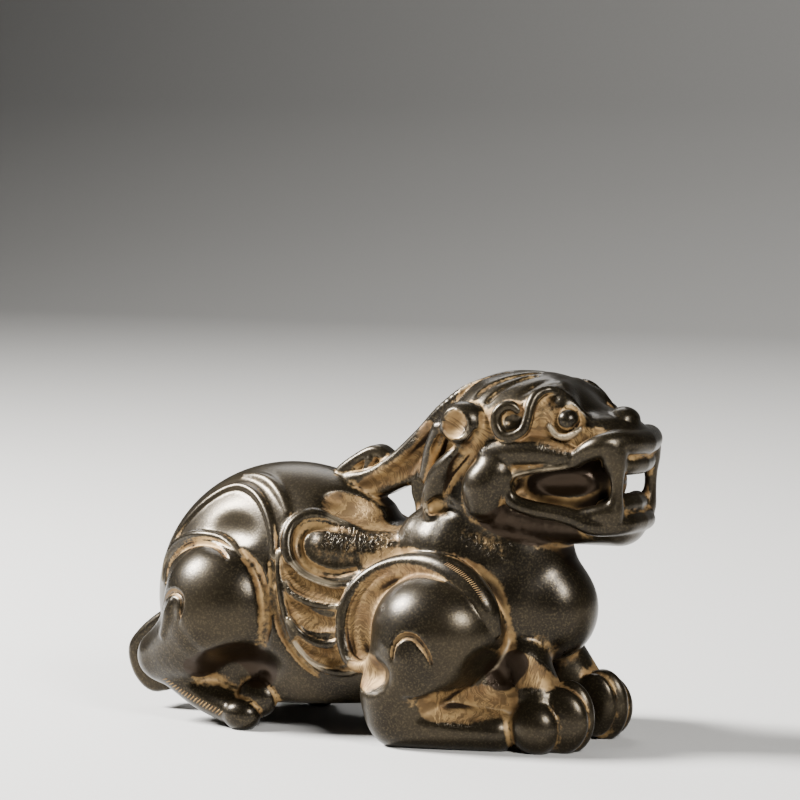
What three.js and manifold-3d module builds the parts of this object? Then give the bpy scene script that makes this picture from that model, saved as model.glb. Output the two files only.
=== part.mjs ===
// Pixiu figure: a crouching winged beast with its mouth open, cast in brass as one piece.
// Millimetres. +X is forward, +Z is up, and the origin lies under the middle of the figure's box,
// on the surface it stands on. The two sides are alike, so each form is given once, for the +Y side.
// Forms are laid out on the figure's own grid, which has one part to the millimetre at full size.
import * as THREE from 'three'
import { mergeVertices } from 'three/addons/utils/BufferGeometryUtils.js'
import Module from 'manifold-3d'

// Driving sizes
const figureLength = 109
const figureWidth = 49
const figureHeight = 67.5

// Carving
const rimSize = 1.2
const fineRimSize = 0.9
const grooveSize = 1
const fineGrooveSize = 0.6
const wideGrooveSize = 1.7
const eyeSize = 2
const canineSize = 1.1
const earSize = 4.4
const maneSize = 1.4
const toeSize = 4.8

// The grid's own length, width and height, and the box that it is searched in
const gridLength = 109
const gridWidth = 49
const gridHeight = 67.5
const searchLow = [-62, 0, -4]
const searchHigh = [60, 30, 72]
const farAway = 50

// How finely the surface is followed, and how many facets are kept
const gridStep = 1
const coarseSteps = 4
const curveSteps = 4
const facetCount = 9600

// How far out a coarse block still counts as close to the surface, in its own widths
const closeBlocks = 1.6

// Seating of lines on the side: start beyond the widest point, share of the gap per step, bounds of a step
const seatStart = gridWidth / 2 + 6
const seatShare = 0.6
const seatStep = [0.02, 1]
const seatGap = 0.01

// Places that touch along an edge only: how near the surface they are looked for, and how they are filled
const diagonalReach = 3
const diagonalFill = 0.25

// Settling on the surface: width of the slope probe, and the flattest slope that is followed
const probe = 0.05
const leastSteep = 0.25

// Thinning of the facets: pull to an edge's middle, cost of long edges, least turn and least width kept
const middlePull = 0.001
const lengthCost = 0.0001
const leastTurn = 0.4
const leastWidth = 0.06

// Sole
const soleLevel = 0
const soleMargin = 0.12

// Forms. Each gives its signed distance at a point and the box that it fills.

// Ellipsoid. Pitch lifts its front, yaw turns its front outwards, roll leans its top outwards, in degrees.
function blob(centre, radii, { pitch = 0, yaw = 0, roll = 0 } = {}) {
  const rad = THREE.MathUtils.degToRad
  const turn = new THREE.Matrix4().makeRotationZ(rad(yaw))
  turn.multiply(new THREE.Matrix4().makeRotationY(-rad(pitch)))
  turn.multiply(new THREE.Matrix4().makeRotationX(-rad(roll)))
  const axes = [0, 1, 2].map(i => new THREE.Vector3().setFromMatrixColumn(turn, i))
  const half = ['x', 'y', 'z'].map(k => Math.hypot(...axes.map((axis, i) => axis[k] * radii[i])))
  const middle = new THREE.Vector3(...centre)
  const reach = new THREE.Vector3(...half)
  const distance = (x, y, z) => {
    let near = 0
    let slope = 0
    for (let i = 0; i < 3; i++) {
      const axis = axes[i]
      const along = ((x - middle.x) * axis.x + (y - middle.y) * axis.y + (z - middle.z) * axis.z) / radii[i]
      near += along * along
      slope += (along / radii[i]) ** 2
    }
    const share = Math.sqrt(near)
    return share * (share - 1) / Math.max(Math.sqrt(slope), 1e-4)
  }
  return { distance, low: middle.clone().sub(reach), high: middle.clone().add(reach) }
}

// A smooth curve through rows of numbers: the first three are a place, the others go along with it.
function through(rows, steps) {
  const curve = points => new THREE.CatmullRomCurve3(points, false, 'catmullrom', 0.5)
  const count = (rows.length - 1) * steps
  const places = curve(rows.map(([x, y, z]) => new THREE.Vector3(x, y, z))).getPoints(count)
  const sizes = curve(rows.map(([, , , a, b = 0]) => new THREE.Vector3(a, b, 0))).getPoints(count)
  return places.map((place, i) => [place.x, place.y, place.z, sizes[i].x, sizes[i].y])
}

// Round tube through [x, y, z, radius] rows. A squash over 1 makes it wider across.
function limb(rows, { squash = 1 } = {}) {
  const path = through(rows, rows.length > 2 ? curveSteps : 1)
  const spans = path.slice(1).map((end, i) => {
    const start = path[i]
    const step = [end[0] - start[0], (end[1] - start[1]) / squash, end[2] - start[2]]
    const square = Math.max(step[0] ** 2 + step[1] ** 2 + step[2] ** 2, 1e-6)
    return { start, step, square, grow: end[3] - start[3] }
  })
  const distance = (x, y, z) => {
    let best = Infinity
    for (const { start, step, square, grow } of spans) {
      const dx = x - start[0]
      const dy = (y - start[1]) / squash
      const dz = z - start[2]
      const along = Math.min(Math.max((dx * step[0] + dy * step[1] + dz * step[2]) / square, 0), 1)
      const ox = dx - along * step[0]
      const oy = dy - along * step[1]
      const oz = dz - along * step[2]
      best = Math.min(best, Math.sqrt(ox * ox + oy * oy + oz * oz) - start[3] - along * grow)
    }
    return best * Math.min(1, squash)
  }
  const box = new THREE.Box3().setFromPoints(path.map(([x, y, z]) => new THREE.Vector3(x, y, z)))
  box.expandByScalar(Math.max(...path.map(row => row[3])))
  return { distance, low: box.min, high: box.max }
}

// Tube of one thickness through [x, y, z] points
function wire(points, size) {
  return limb(points.map(([x, y, z]) => [x, y, z, size]))
}

// Flat strap on the middle plane through [x, z, half thickness, half width] rows, with rounded edges.
function band(rows, width, edge) {
  const path = through(rows.map(([x, z, thick, wide = width]) => [x, 0, z, thick, wide]), curveSteps)
  const distance = (x, y, z) => {
    let best = Infinity
    let wide = width
    for (let i = 1; i < path.length; i++) {
      const start = path[i - 1]
      const end = path[i]
      const ex = end[0] - start[0]
      const ez = end[2] - start[2]
      const square = Math.max(ex * ex + ez * ez, 1e-6)
      const along = Math.min(Math.max(((x - start[0]) * ex + (z - start[2]) * ez) / square, 0), 1)
      const away = Math.hypot(x - start[0] - along * ex, z - start[2] - along * ez)
      const gap = away - start[3] - along * (end[3] - start[3])
      if (gap < best) {
        best = gap
        wide = start[4] + along * (end[4] - start[4])
      }
    }
    const a = best + edge
    const b = Math.abs(y) - wide + edge
    return Math.hypot(Math.max(a, 0), Math.max(b, 0)) + Math.min(Math.max(a, b), 0) - edge
  }
  const box = new THREE.Box3().setFromPoints(path.map(([x, , z]) => new THREE.Vector3(x, 0, z)))
  const thick = Math.max(...path.map(row => row[3]))
  box.expandByVector(new THREE.Vector3(thick, Math.max(...path.map(row => row[4])), thick))
  return { distance, low: box.min, high: box.max }
}

// Joins two distances with a fillet of the given reach
function melt(a, b, reach) {
  const share = Math.max(reach - Math.abs(a - b), 0) / reach
  return Math.min(a, b) - share * share * share * reach / 6
}

// The figure: forms added to each other or cut away, in order
class Figure {
  steps = []

  take(form, reach, sign, margin) {
    const low = form.low.clone().subScalar(margin + reach)
    const high = form.high.clone().addScalar(margin + reach)
    this.steps.push({ distance: form.distance, reach, sign, low, high })
  }

  add(form, reach) {
    this.take(form, reach, 1, 7)
  }

  cut(form, reach) {
    this.take(form, reach, -1, 1)
  }

  distance(x, side, z) {
    const y = Math.abs(side)
    let near = farAway
    for (const { distance, reach, sign, low, high } of this.steps) {
      if (x > low.x && x < high.x && y > low.y && y < high.y && z > low.z && z < high.z) {
        near = sign * melt(sign * near, distance(x, y, z), reach)
      }
    }
    return near
  }

  // Lays [x, z, radius] rows on the side of the figure as it stands
  on(rows) {
    return rows.map(([x, z, radius]) => {
      let y = seatStart
      let gap = this.distance(x, y, z)
      while (gap > seatGap && y > 0) {
        y -= THREE.MathUtils.clamp(gap * seatShare, ...seatStep)
        gap = this.distance(x, y, z)
      }
      return [x, Math.max(y, 0), z, radius]
    })
  }

  // Lays [x, z] points on the side as tube rows, thinner at both tips, raised by the given height
  laid(points, size, tip, height) {
    const last = points.length - 1
    const swell = points.map((point, i) => tip + (1 - tip) * (1 - (2 * i / last - 1) ** 2))
    const rows = this.on(points.map(([x, z], i) => [x, z, size * swell[i]]))
    return rows.map(([x, y, z, radius], i) => [x, Math.max(y + height * swell[i], 0), z, radius])
  }

  // Raised line along the side
  ridge(points, size, rise, reach, tip) {
    this.add(limb(this.laid(points, size, tip, rise - size)), reach)
  }

  // Sunk line along the side
  groove(points, size, depth, reach, tip) {
    this.cut(limb(this.laid(points, size, tip, size - depth)), reach)
  }
}

function masses(f) {
  // trunk
  f.add(blob([-20, 0, 22.4], [28.6, 17, 26.2]), 1)
  f.add(blob([4, 0, 20.9], [25, 15, 17]), 6)
  f.cut(limb([[-46, 27, 0, 12], [-20, 26, 2, 13], [4, 26, 2, 10]]), 5)
  f.add(blob([27, 0, 25], [10.2, 10.8, 11]), 8)
  f.add(blob([33, 0, 24.6], [8.3, 8, 9.4]), 2)
  // neck
  f.add(limb([[16, 0, 29.7, 12], [19, 0, 39.6, 11], [24, 0, 52.5, 11]], { squash: 1 }), 5)
  f.add(limb([[20, 0, 39.6, 9.5], [26, 0, 34.5, 10]]), 6)
  f.add(limb([[11, 5, 36.4, 6], [16.2, 5.9, 35.6, 7.4], [22, 5.2, 32.6, 7]]), 2)
  f.cut(blob([-8, 0, -7.5], [60, 40, 13]), 2)
  // thigh: the big ball, drawn down and back into the hock
  f.add(blob([-28.5, 12, 23.1], [12, 10, 11.6]), 1.5)
  f.add(limb([[-30.5, 12.5, 19.1, 9.5], [-36.5, 12.2, 14.7, 7.2], [-41.8, 12, 12.2, 5]]), 3)
  f.add(limb([[-42.4, 12, 12.2, 4.3], [-39.2, 12.2, 9.7, 3.6], [-33, 12.8, 6, 3.4],
    [-27, 13.4, 3.9, 3.3]]), 2)
  // shoulder ball and the foreleg folded under it
  f.add(blob([16.5, 13, 20.8], [12.5, 10.8, 10.8]), 1.5)
  f.add(limb([[14, 15.5, 16, 9], [10.5, 16.3, 10.5, 7.4], [9.8, 16.3, 6.8, 6.2]]), 3)
  f.add(limb([[10, 16.5, 4.6, 5], [18, 15, 4, 4.4], [28, 12.5, 3.3, 3.7]]), 2)
  f.add(limb([[12, 10, 9, 6], [28, 7, 10, 5.5]]), 2)
  f.add(limb([[31, 7.4, 15, 4.6], [34.6, 8.6, 8.8, 4.6]]), 4)
}

function paws(f) {
  f.add(blob([35.3, 12, 4.5], [toeSize, 3.6, toeSize + 0.1]), 1.2)
  f.add(blob([38.6, 9.6, 5.7], [5.9, 2.7, 6.1]), 0.5)
  f.add(blob([39.8, 7.2, 6.2], [4.9, 2.2, 6.6]), 0.5)
  f.add(blob([38.9, 5.2, 6.4], [4.3, 1.7, 5.8]), 0.5)
  // hind
  f.add(blob([-23.7, 14.8, 2.7], [3.8, 2.9, 3]), 0.8)
  f.add(blob([-21.6, 12.5, 5.6], [4, 2.5, 3.7]), 0.3)
  f.add(blob([-19.4, 10.3, 8.9], [4, 2.5, 3.7]), 0.3)
  f.add(blob([-17.4, 8, 11.4], [3.8, 2.2, 3.7]), 0.3)
}

function shoulderCarving(f) {
  // floor of the groove round the ball
  f.add(limb([[6, 15, 13.5, 1.6], [2.4, 14, 15, 1.9], [1, 13.4, 18.5, 2], [0.9, 13.2, 22, 2],
    [2, 12.8, 26, 2], [4.6, 12.4, 29, 2], [8.6, 12.2, 30.9, 2], [13, 12.6, 31.4, 2],
    [17.6, 13.2, 30.8, 2], [21.6, 13.8, 28.6, 2], [24.6, 14, 25.2, 2], [26, 14, 21, 1.6]]), 1)
  // crescent that ends in a hook below
  f.add(limb([[7.2, 18.6, 17.4, 0.8], [5, 18, 14.6, 1], [2, 16.8, 13.9, 1.2], [-0.6, 15.8, 15.3, 1.3],
    [-2, 15.2, 18.5, 1.3], [-2.2, 15, 22.2, 1.3], [-1.4, 14.6, 25.4, 1.3], [0.4, 14, 28.3, 1.3],
    [3.2, 13.2, 30.6, 1.4], [7, 12.6, 32.2, 1.6], [11.4, 12.6, 32.8, 2], [15.8, 13.2, 32.6, 2.5],
    [20.2, 14, 31.2, 2.9], [24.2, 14.6, 28.7, 2.9], [27, 15, 25.4, 2.4], [28.6, 14.4, 21.6, 1.1]]), 0.6)
  // pocket under the hook, and the arch over the top of the foreleg
  f.cut(blob([6.4, 25.4, 13.4], [5.4, 5.6, 3.3], { pitch: 6 }), 3.4)
  f.groove([[12.9, 17], [13, 18.8], [13.7, 20.3], [15.1, 21.2], [16.9, 21.1], [18.4, 20], [19.5, 18.3],
    [20, 16.6]], fineGrooveSize, 0.7, 0.5, 0.5)
  f.add(limb([[15.6, 21.6, 18.4, 1.4], [15.8, 21.4, 16, 2.2], [15.2, 20, 11.5, 3.6]]), 0.8)
}

function legCarving(f) {
  // recess over the forearm, and the hollow between it and the chest
  f.cut(limb([[15.2, 23.2, 8.8, 0.9], [19, 21.2, 8.2, 2], [24, 18.6, 8.2, 2.9],
    [28.6, 16.8, 9.6, 3.2]]), 2.2)
  f.cut(blob([28.8, 17.6, 13.2], [3.8, 6.6, 5], { pitch: 10 }), 3.5)
  f.cut(limb([[0.8, 20, 12.4, 1.6], [5, 23, 12.2, 1.2]]), 1)
}

function wingCarving(f) {
  const rim = [[0.8, 35.6], [-3.4, 38.2], [-7.6, 40.1], [-11.2, 40.3], [-13.4, 38.9], [-14.2, 36.8],
    [-13.9, 34.3], [-12.7, 31.8], [-10.6, 29.9], [-7.8, 28.5], [-4.6, 27.8], [-1.2, 28.2]]
  const inside = [[0.6, 33.6], [-4, 36.4], [-7.4, 38], [-10.2, 38.2], [-11.8, 36.9], [-12, 35],
    [-11.2, 33], [-9.6, 31.4], [-7.2, 30.4], [-4.4, 30], [-0.8, 30.8]]
  const lobe = f.laid([[-7.6, 34.4], [-4.4, 34], [0.2, 33.8], [4.6, 34.6]], 3.8, 0.8, -2.9)
  f.ridge(rim, rimSize, 1.2, 0.6, 0.6)
  f.groove(inside, grooveSize, 0.9, 0.8, 0.5)
  f.add(limb(lobe), 2)
}

function featherCarving(f) {
  const edge = [[-15.2, 33.4], [-14.9, 30.6], [-14.2, 26.8], [-13.4, 23.4], [-12.2, 19.6],
    [-10.6, 16.4], [-8.4, 13.8], [-5.6, 12.2], [-2.4, 11.9], [0.4, 12.8]]
  const rims = [
    [[-13.4, 28], [-12.2, 26.3], [-9.8, 25.1], [-6.7, 24.4], [-3.2, 24.2]],
    [[-12.2, 21.5], [-10.8, 19.2], [-8.7, 17.7], [-5.4, 17.1], [-2.4, 18]],
  ]
  const hollows = [
    [[-13, 30.4], [-11.2, 28.2], [-8.4, 26.8], [-5.2, 26.1], [-2.6, 26.3]],
    [[-11.8, 24.6], [-10, 22.4], [-7.4, 21], [-4.2, 20.8]],
    [[-10.4, 17.2], [-8.2, 15.4], [-5.2, 14.4], [-2, 14.9]],
  ]
  // step down from the wing to the flank
  f.groove([[-16.8, 31.8], [-16.2, 27], [-15, 22], [-13.4, 17.6], [-11, 13.8], [-8, 10.8]],
    grooveSize, 0.8, 1, 0.4)
  f.ridge(edge, fineRimSize, 1, 0.5, 0.7)
  for (const path of hollows) {
    f.groove(path, wideGrooveSize, 1.3, 0.8, 0.6)
  }
  for (const path of rims) {
    f.ridge(path, fineRimSize, 0.9, 0.4, 0.7)
  }
}

function backBowl(f) {
  // bowl under the end of the mane
  f.cut(blob([-2.6, 9.2, 42.6], [7.4, 4.8, 3.4], { pitch: -8 }), 2)
}

function rumpCarving(f) {
  // concave panel inside a thin rim, with a softer rim behind it
  f.cut(blob([-28, 22.1, 42.9], [13.5, 11.5, 7.5], { pitch: -14, roll: -40 }), 2)
  const rim = [[-42.6, 31.3], [-40.9, 34.6], [-38.6, 37.4], [-36, 40], [-33.2, 42.1], [-30.1, 43.7],
    [-27, 44.2], [-23.6, 43.4], [-20.8, 41.6], [-18.6, 39], [-17.1, 35.8], [-16.4, 32.4]]
  const behind = [[-28, 45.9], [-24.4, 45.9], [-20.8, 45], [-17.6, 42.9], [-15.4, 40.4]]
  f.ridge(rim, fineRimSize, 0.7, 0.6, 0.7)
  f.ridge(behind, rimSize, 0.6, 1, 0.5)
}

function thighCarving(f) {
  // the ball stands clear of the flank, over a deep recess
  f.groove([[-23.6, 33.2], [-20.2, 30.8], [-18, 26.8], [-17.2, 22], [-18, 17.4], [-20.4, 13.6]],
    grooveSize, 0.9, 1.6, 0.4)
  f.cut(blob([-22.6, 20.6, 10.6], [9.4, 8.4, 5], { pitch: 8 }), 5)
  f.groove([[-42.9, 25.6], [-42.3, 28.8], [-40, 31.3], [-36.6, 33.1], [-32.5, 33.9], [-28.3, 33.6],
    [-25, 32]], fineGrooveSize, 0.7, 0.5, 0.5)
  f.ridge([[-44.2, 25.9], [-43.6, 29.6], [-41.2, 32.5], [-37.8, 34.4], [-33.7, 35.3], [-29, 35.1],
    [-25.7, 33.9], [-23.2, 32.2]], fineRimSize, 0.7, 0.5, 0.5)
  f.groove([[-39.2, 21.8], [-37.8, 24.2], [-35.2, 25.5], [-32.9, 24.9], [-32.3, 22.8], [-33.1, 20.2]],
    fineGrooveSize, 0.6, 0.5, 0.3)
  f.ridge([[-35.2, 23.4], [-36, 20.8], [-37.6, 17.4]], 1.6, 0.6, 1, 0.6)
}

function tail(f) {
  // flat ribbon that leaves the rump low down and lies in behind the hind legs
  f.add(band([[-45, 18.2, 2.5], [-49.2, 16.2, 1.9], [-52.4, 13.9, 1.6], [-54.3, 11.2, 1.6],
    [-53, 7.8, 2.2], [-50.6, 5.6, 2.4], [-48.2, 5.6, 2.2]], 3.4, 1.3), 1)
  f.add(band([[-44, 16.4, 4], [-47.8, 13, 4], [-49.6, 8.6, 3.4]], 2, 1.2), 1.5)
}

function bodyCarving(f) {
  rumpCarving(f)
  thighCarving(f)
  wingCarving(f)
  featherCarving(f)
  shoulderCarving(f)
  legCarving(f)
  tail(f)
  backBowl(f)
}

function skull(f) {
  f.add(blob([26.5, 0, 56.7], [13.5, 12.2, 10.7]), 4)
  // forehead, and the cheek wall under the eye
  f.add(blob([32.5, 0, 60.3], [8.6, 10.4, 6.6], { pitch: -8 }), 3)
  f.add(blob([37.5, 0, 56.7], [8, 9, 6.5], { pitch: -10 }), 3)
  f.add(limb([[35.8, 3.5, 63.3, 2.6], [38.2, 6.2, 61.8, 2.4]]), 2)
  // closed core of the mouth, and the upper muzzle
  f.add(blob([35, 0, 48.8], [11, 6.2, 7.5]), 2)
  f.add(blob([36.3, 0, 48], [10.6, 8.8, 7.2]), 1)
  f.add(blob([26.6, 8, 50.1], [4.2, 3, 5]), 2)
  f.add(blob([43.5, 0, 56.8], [8, 7.6, 4.2], { pitch: -8 }), 2)
  f.add(blob([43, 4.6, 57.2], [4.2, 3.6, 3]), 2)
}

function jaw(f) {
  f.add(limb([[27, 0, 42.6, 6.8], [37, 0, 41, 4.6], [46.5, 0, 40.6, 4]], { squash: 1.7 }), 1.5)
  // jowl, and the roll of the cheek
  f.add(limb([[26.4, 10.6, 49.9, 4], [24.8, 11, 47.4, 4.3], [24.6, 10.6, 44.7, 3.8]]), 0.8)
  f.add(limb([[26, 10.4, 53, 2.9], [30, 10.4, 53.7, 2.9], [35, 9.9, 53.9, 2.6], [39, 9.2, 53.4, 2.1],
    [41.6, 8.6, 52.9, 1.4]]), 1.2)
}

function lips(f) {
  f.add(limb([[41.5, 9.2, 52.4, 1.3], [43.6, 9.2, 54, 1.8], [46.4, 8.8, 55.3, 2.1],
    [48.4, 7.2, 55.8, 2.2], [50.1, 4.4, 55.6, 2.2], [51, 0, 55.4, 2.2]]), 1.2)
  // loop round the corner of the mouth and on to the front of the lower jaw
  f.add(limb([[42.4, 9, 52.6, 0.9], [40.4, 9.8, 51.5, 1], [37.4, 10.3, 50.9, 1], [33.6, 10.6, 50.4, 1],
    [30.8, 11, 49.2, 1.2], [29.4, 11.2, 47, 1.3], [30.4, 11, 44.8, 1.4], [34, 10.4, 43.6, 1.5],
    [37.8, 9.9, 43.1, 1.5], [41, 9.2, 42.4, 1.6], [44.5, 8.4, 41.1, 1.8], [47.2, 6.8, 41, 1.9],
    [49.2, 4.2, 41.2, 1.9], [49.8, 0, 41.3, 1.9]]), 0.6)
}

function teeth(f) {
  f.add(limb([[48, 7.2, 54.6, 2.8], [48.6, 7.3, 52, 2], [48.9, 7.3, 49.8, 1.3],
    [48.9, 7.3, 47.4, canineSize], [48.6, 7.2, 45.2, 1.4], [47.6, 6.9, 42.8, 2.4]]), 0.6)
  f.add(limb([[43.4, 8.4, 42.6, 1.6], [46.2, 8, 43.2, 1.7], [48.2, 7.4, 44, 1.4]]), 0.8)
  // the open cheek
  f.cut(limb([[31.9, 11.4, 48, 1.6], [34.8, 11.2, 47.8, 2.4], [38.8, 10.6, 47.8, 3],
    [42.6, 10, 48, 3.3], [45.2, 9.4, 48, 2.6]]), 0.8)
}

function gums(f) {
  // row of small teeth behind the upper lip, and the gum behind the lower one
  f.add(limb([[47.6, 5.8, 52.2, 2.2], [49.2, 3.6, 51.9, 2.1], [49.8, 0, 51.8, 2.1]]), 0.8)
  f.add(limb([[46, 5.6, 43.6, 2], [47.8, 3.6, 44.3, 2], [48.6, 0, 44.4, 2]]), 0.8)
}

function nose(f) {
  f.add(blob([46.9, 0, 59.2], [3, 3.1, 2.5]), 0.6)
  f.add(blob([45.5, 3.4, 58.2], [2.9, 2.4, 2], { yaw: -15 }), 0.5)
}

function eye(f) {
  f.cut(blob([39.6, 10.6, 59.6], [3.3, 2, 3.1]), 0.8)
  f.add(blob([39.9, 8.4, 59.6], [eyeSize, 2, eyeSize]), 0.3)
  // pouch under it
  f.add(limb([[36.8, 9.8, 58.6, 0.5], [38.4, 9.9, 56.9, 0.6], [40.6, 9.6, 56.8, 0.6],
    [42.4, 8.8, 58.2, 0.5]]), 0.5)
}

function brow(f) {
  // from the middle of the forehead a ridge runs down each side of the nose
  f.add(limb([[35.4, 7.6, 64.6, 0.7], [37.2, 7, 64.5, 0.8], [39.3, 6.8, 62.9, 0.8],
    [41.5, 6.4, 60.7, 0.8], [43.3, 6, 58.9, 0.8], [45, 5.2, 58, 0.6]]), 0.6)
  // and a scroll curls back over the cheek
  f.add(limb([[36.6, 6.6, 64.9, 0.7], [35.2, 7.8, 64.7, 0.9], [34, 9.2, 63.8, 1.1], [33.4, 10.4, 62, 1],
    [33.2, 11, 60, 1], [32.5, 11.6, 57.8, 1.1], [30.6, 12, 56.6, 1.1], [28.8, 12.1, 56.7, 1.1],
    [27.6, 12.2, 58.3, 1.1], [27.5, 12.2, 60.3, 1], [28.7, 11.8, 61.8, 1], [30.2, 11.4, 62, 0.9],
    [31.3, 11, 61.1, 0.8]]), 0.5)
  f.cut(blob([30.5, 13, 59.4], [2, 2.2, 1.8]), 0.5)
  // groove between brow and forehead
  f.cut(limb([[36.2, 0, 67.4, 1.1], [35.4, 3.2, 67.2, 0.7], [33.8, 5.8, 66.5, 0.7],
    [32.2, 8.2, 65.2, 0.8], [30.8, 9.8, 64.4, 0.9], [28.6, 11.2, 63.8, 0.9], [26.2, 12.2, 62.2, 0.8],
    [25.4, 12.6, 59.8, 0.7]]), 0.8)
}

function ear(f) {
  f.add(blob([20.6, 11.4, 58.4], [earSize, 3.4, earSize - 0.3]), 0.8)
  f.cut(blob([20, 15.2, 58.4], [earSize - 1.3, 2.3, earSize - 1.4]), 0.4)
}

function lobe(f) {
  // two locks hang behind the jowl, with a leaf-shaped recess between them
  f.add(limb([[20.5, 11.4, 53.7, 1.6], [17.5, 11.2, 51, 1.9], [15.4, 10.4, 48.8, 2.2],
    [14, 9.6, 45.4, 2.4], [13.6, 9, 41.6, 2.2]]), 1)
  f.add(limb([[15.4, 10, 57.1, 1.8], [13, 8.4, 52.9, 1.8], [11.4, 7.2, 48.1, 1.8]]), 1.5)
  f.cut(limb([[15.8, 11.4, 55.4, 0.8], [14.4, 10.8, 52.7, 1.3], [13.8, 10.8, 50.3, 0.6]]), 0.6)
  f.cut(limb([[14, 11, 42.8, 1.2], [16.2, 11.8, 43.2, 1.9], [18.6, 12.2, 42.6, 1.3]]), 1)
  f.cut(limb([[24.4, 13.2, 56.8, 0.9], [21.2, 13, 53.1, 0.9], [19.2, 12.4, 50.1, 1],
    [18.6, 12, 46.7, 1], [19.2, 12.2, 43.5, 0.9], [21, 12.6, 40.7, 0.6]]), 1)
}

function crown(f) {
  // strands combed back over the crown
  const strands = [
    [[16, 5.2, 61.6], [17.6, 4.4, 64.2], [21.2, 3.2, 66.2], [25.4, 1.4, 67.6]],
    [[21.2, 10.4, 62.6], [22.4, 8.2, 64], [24.8, 6.6, 65.7], [27.8, 4.4, 66.9], [31, 1.6, 67.5]],
    [[24.9, 10.2, 62.7], [26.5, 8.6, 64.6], [28.7, 6.7, 66], [31.2, 3.6, 67.1]],
  ]
  for (const path of strands) {
    f.cut(wire(path, fineGrooveSize), 0.6)
  }
}

function head(f) {
  skull(f)
  jaw(f)
  lips(f)
  teeth(f)
  gums(f)
  nose(f)
  eye(f)
  brow(f)
  ear(f)
  lobe(f)
}

function mane(f) {
  // flat mane from the crown down the back of the neck, bridging to the back
  f.add(band([[27, 61.2, 4.5, 5.2], [20.5, 61.6, 4.2, 4.8], [13.2, 59.6, 2.1, 4.2],
    [7.4, 54.9, maneSize, 3.7], [2, 50.2, maneSize, 3.4], [-3.2, 47, maneSize, 3.2],
    [-9, 45.4, maneSize, 2.8]], 3.4, 1.2), 0.8)
  f.add(band([[15, 56.7, 4], [11.5, 51.3, 3.4], [8.4, 46.3, 3.2], [8.6, 42, 3]], 2.8, 1), 2)
  // plate under it that leaves only a small gap over the back
  f.add(band([[-7, 44.8, 2], [-2.4, 45.8, 2.8], [3, 48.4, 3.2], [8, 50.6, 4.8], [14, 52, 6.5]],
    2.5, 1.2), 0.8)
  // curl at its end: a thin rim round a sunk plate
  f.add(band([[-10.8, 45.8, 1.2], [-9.6, 47.6, 1.2], [-5.4, 50.4, 1.2], [-2.6, 51.3, 1.3],
    [-0.6, 50.4, 1.2]], 2.2, 1.1), 0.5)
  f.add(band([[-8, 47.2, 2], [-4, 48.2, 2], [-1.5, 48.6, 2]], 1.2, 0.8), 0.5)
  f.add(limb([[-3.6, 1.5, 49.8, 1.1], [-4.4, 1.4, 48.2, 0.8]]), 0.5)
  // web that carries it, and the gap through to the other side
  f.add(band([[-7.5, 45.2, 2.5], [-5.5, 41.1, 3.2], [-4.5, 36.1, 5]], 1.8, 1), 3)
  f.cut(limb([[3.3, 0, 41.4, 2.8], [2.9, 3, 41.4, 3], [1.2, 9, 41.8, 4.2]]), 1)
  f.add(blob([-9.6, 1.5, 43.2], [2.3, 3.6, 3]), 0.8)
  crown(f)
}

// Surface. The distances are sampled on a grid round the figure, closely where the surface runs.
function sample(figure, low, high) {
  const count = high.map((top, axis) => Math.ceil((top - low[axis]) / gridStep) + 1)
  const half = Math.ceil(high[1] / gridStep)
  const side = 2 * half + 1
  const values = new Float32Array(count[0] * side * count[2]).fill(farAway)
  const index = (i, j, k) => (i * side + j) * count[2] + k
  const block = coarseSteps
  const middle = block / 2 * gridStep
  for (let i = 0; i < count[0]; i += block) {
    for (let j = 0; j <= half; j += block) {
      for (let k = 0; k < count[2]; k += block) {
        const corner = [low[0] + i * gridStep, j * gridStep, low[2] + k * gridStep]
        const at = figure.distance(...corner.map(n => n + middle))
        const close = Math.abs(at) < block * gridStep * closeBlocks
        for (let a = i; a < Math.min(i + block, count[0]); a++) {
          for (let b = j; b < Math.min(j + block, half + 1); b++) {
            for (let c = k; c < Math.min(k + block, count[2]); c++) {
              const value = close
                ? figure.distance(low[0] + a * gridStep, b * gridStep, low[2] + c * gridStep)
                : at
              values[index(a, half + b, c)] = value
              values[index(a, half - b, c)] = value
            }
          }
        }
      }
    }
  }
  return { values, index, count: [count[0], side, count[2]], low: [low[0], -half * gridStep, low[2]] }
}

// Fills each hollow that can't be reached from outside
function fillHollows({ values, count }) {
  const reached = new Uint8Array(values.length)
  const waiting = [0]
  reached[0] = 1
  while (waiting.length > 0) {
    const here = waiting.pop()
    for (const stride of [count[1] * count[2], count[2], 1]) {
      for (const next of [here - stride, here + stride]) {
        if (next >= 0 && next < values.length && !reached[next] && values[next] >= 0) {
          reached[next] = 1
          waiting.push(next)
        }
      }
    }
  }
  for (let n = 0; n < values.length; n++) {
    if (values[n] >= 0 && !reached[n]) values[n] = -gridStep
  }
}

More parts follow.
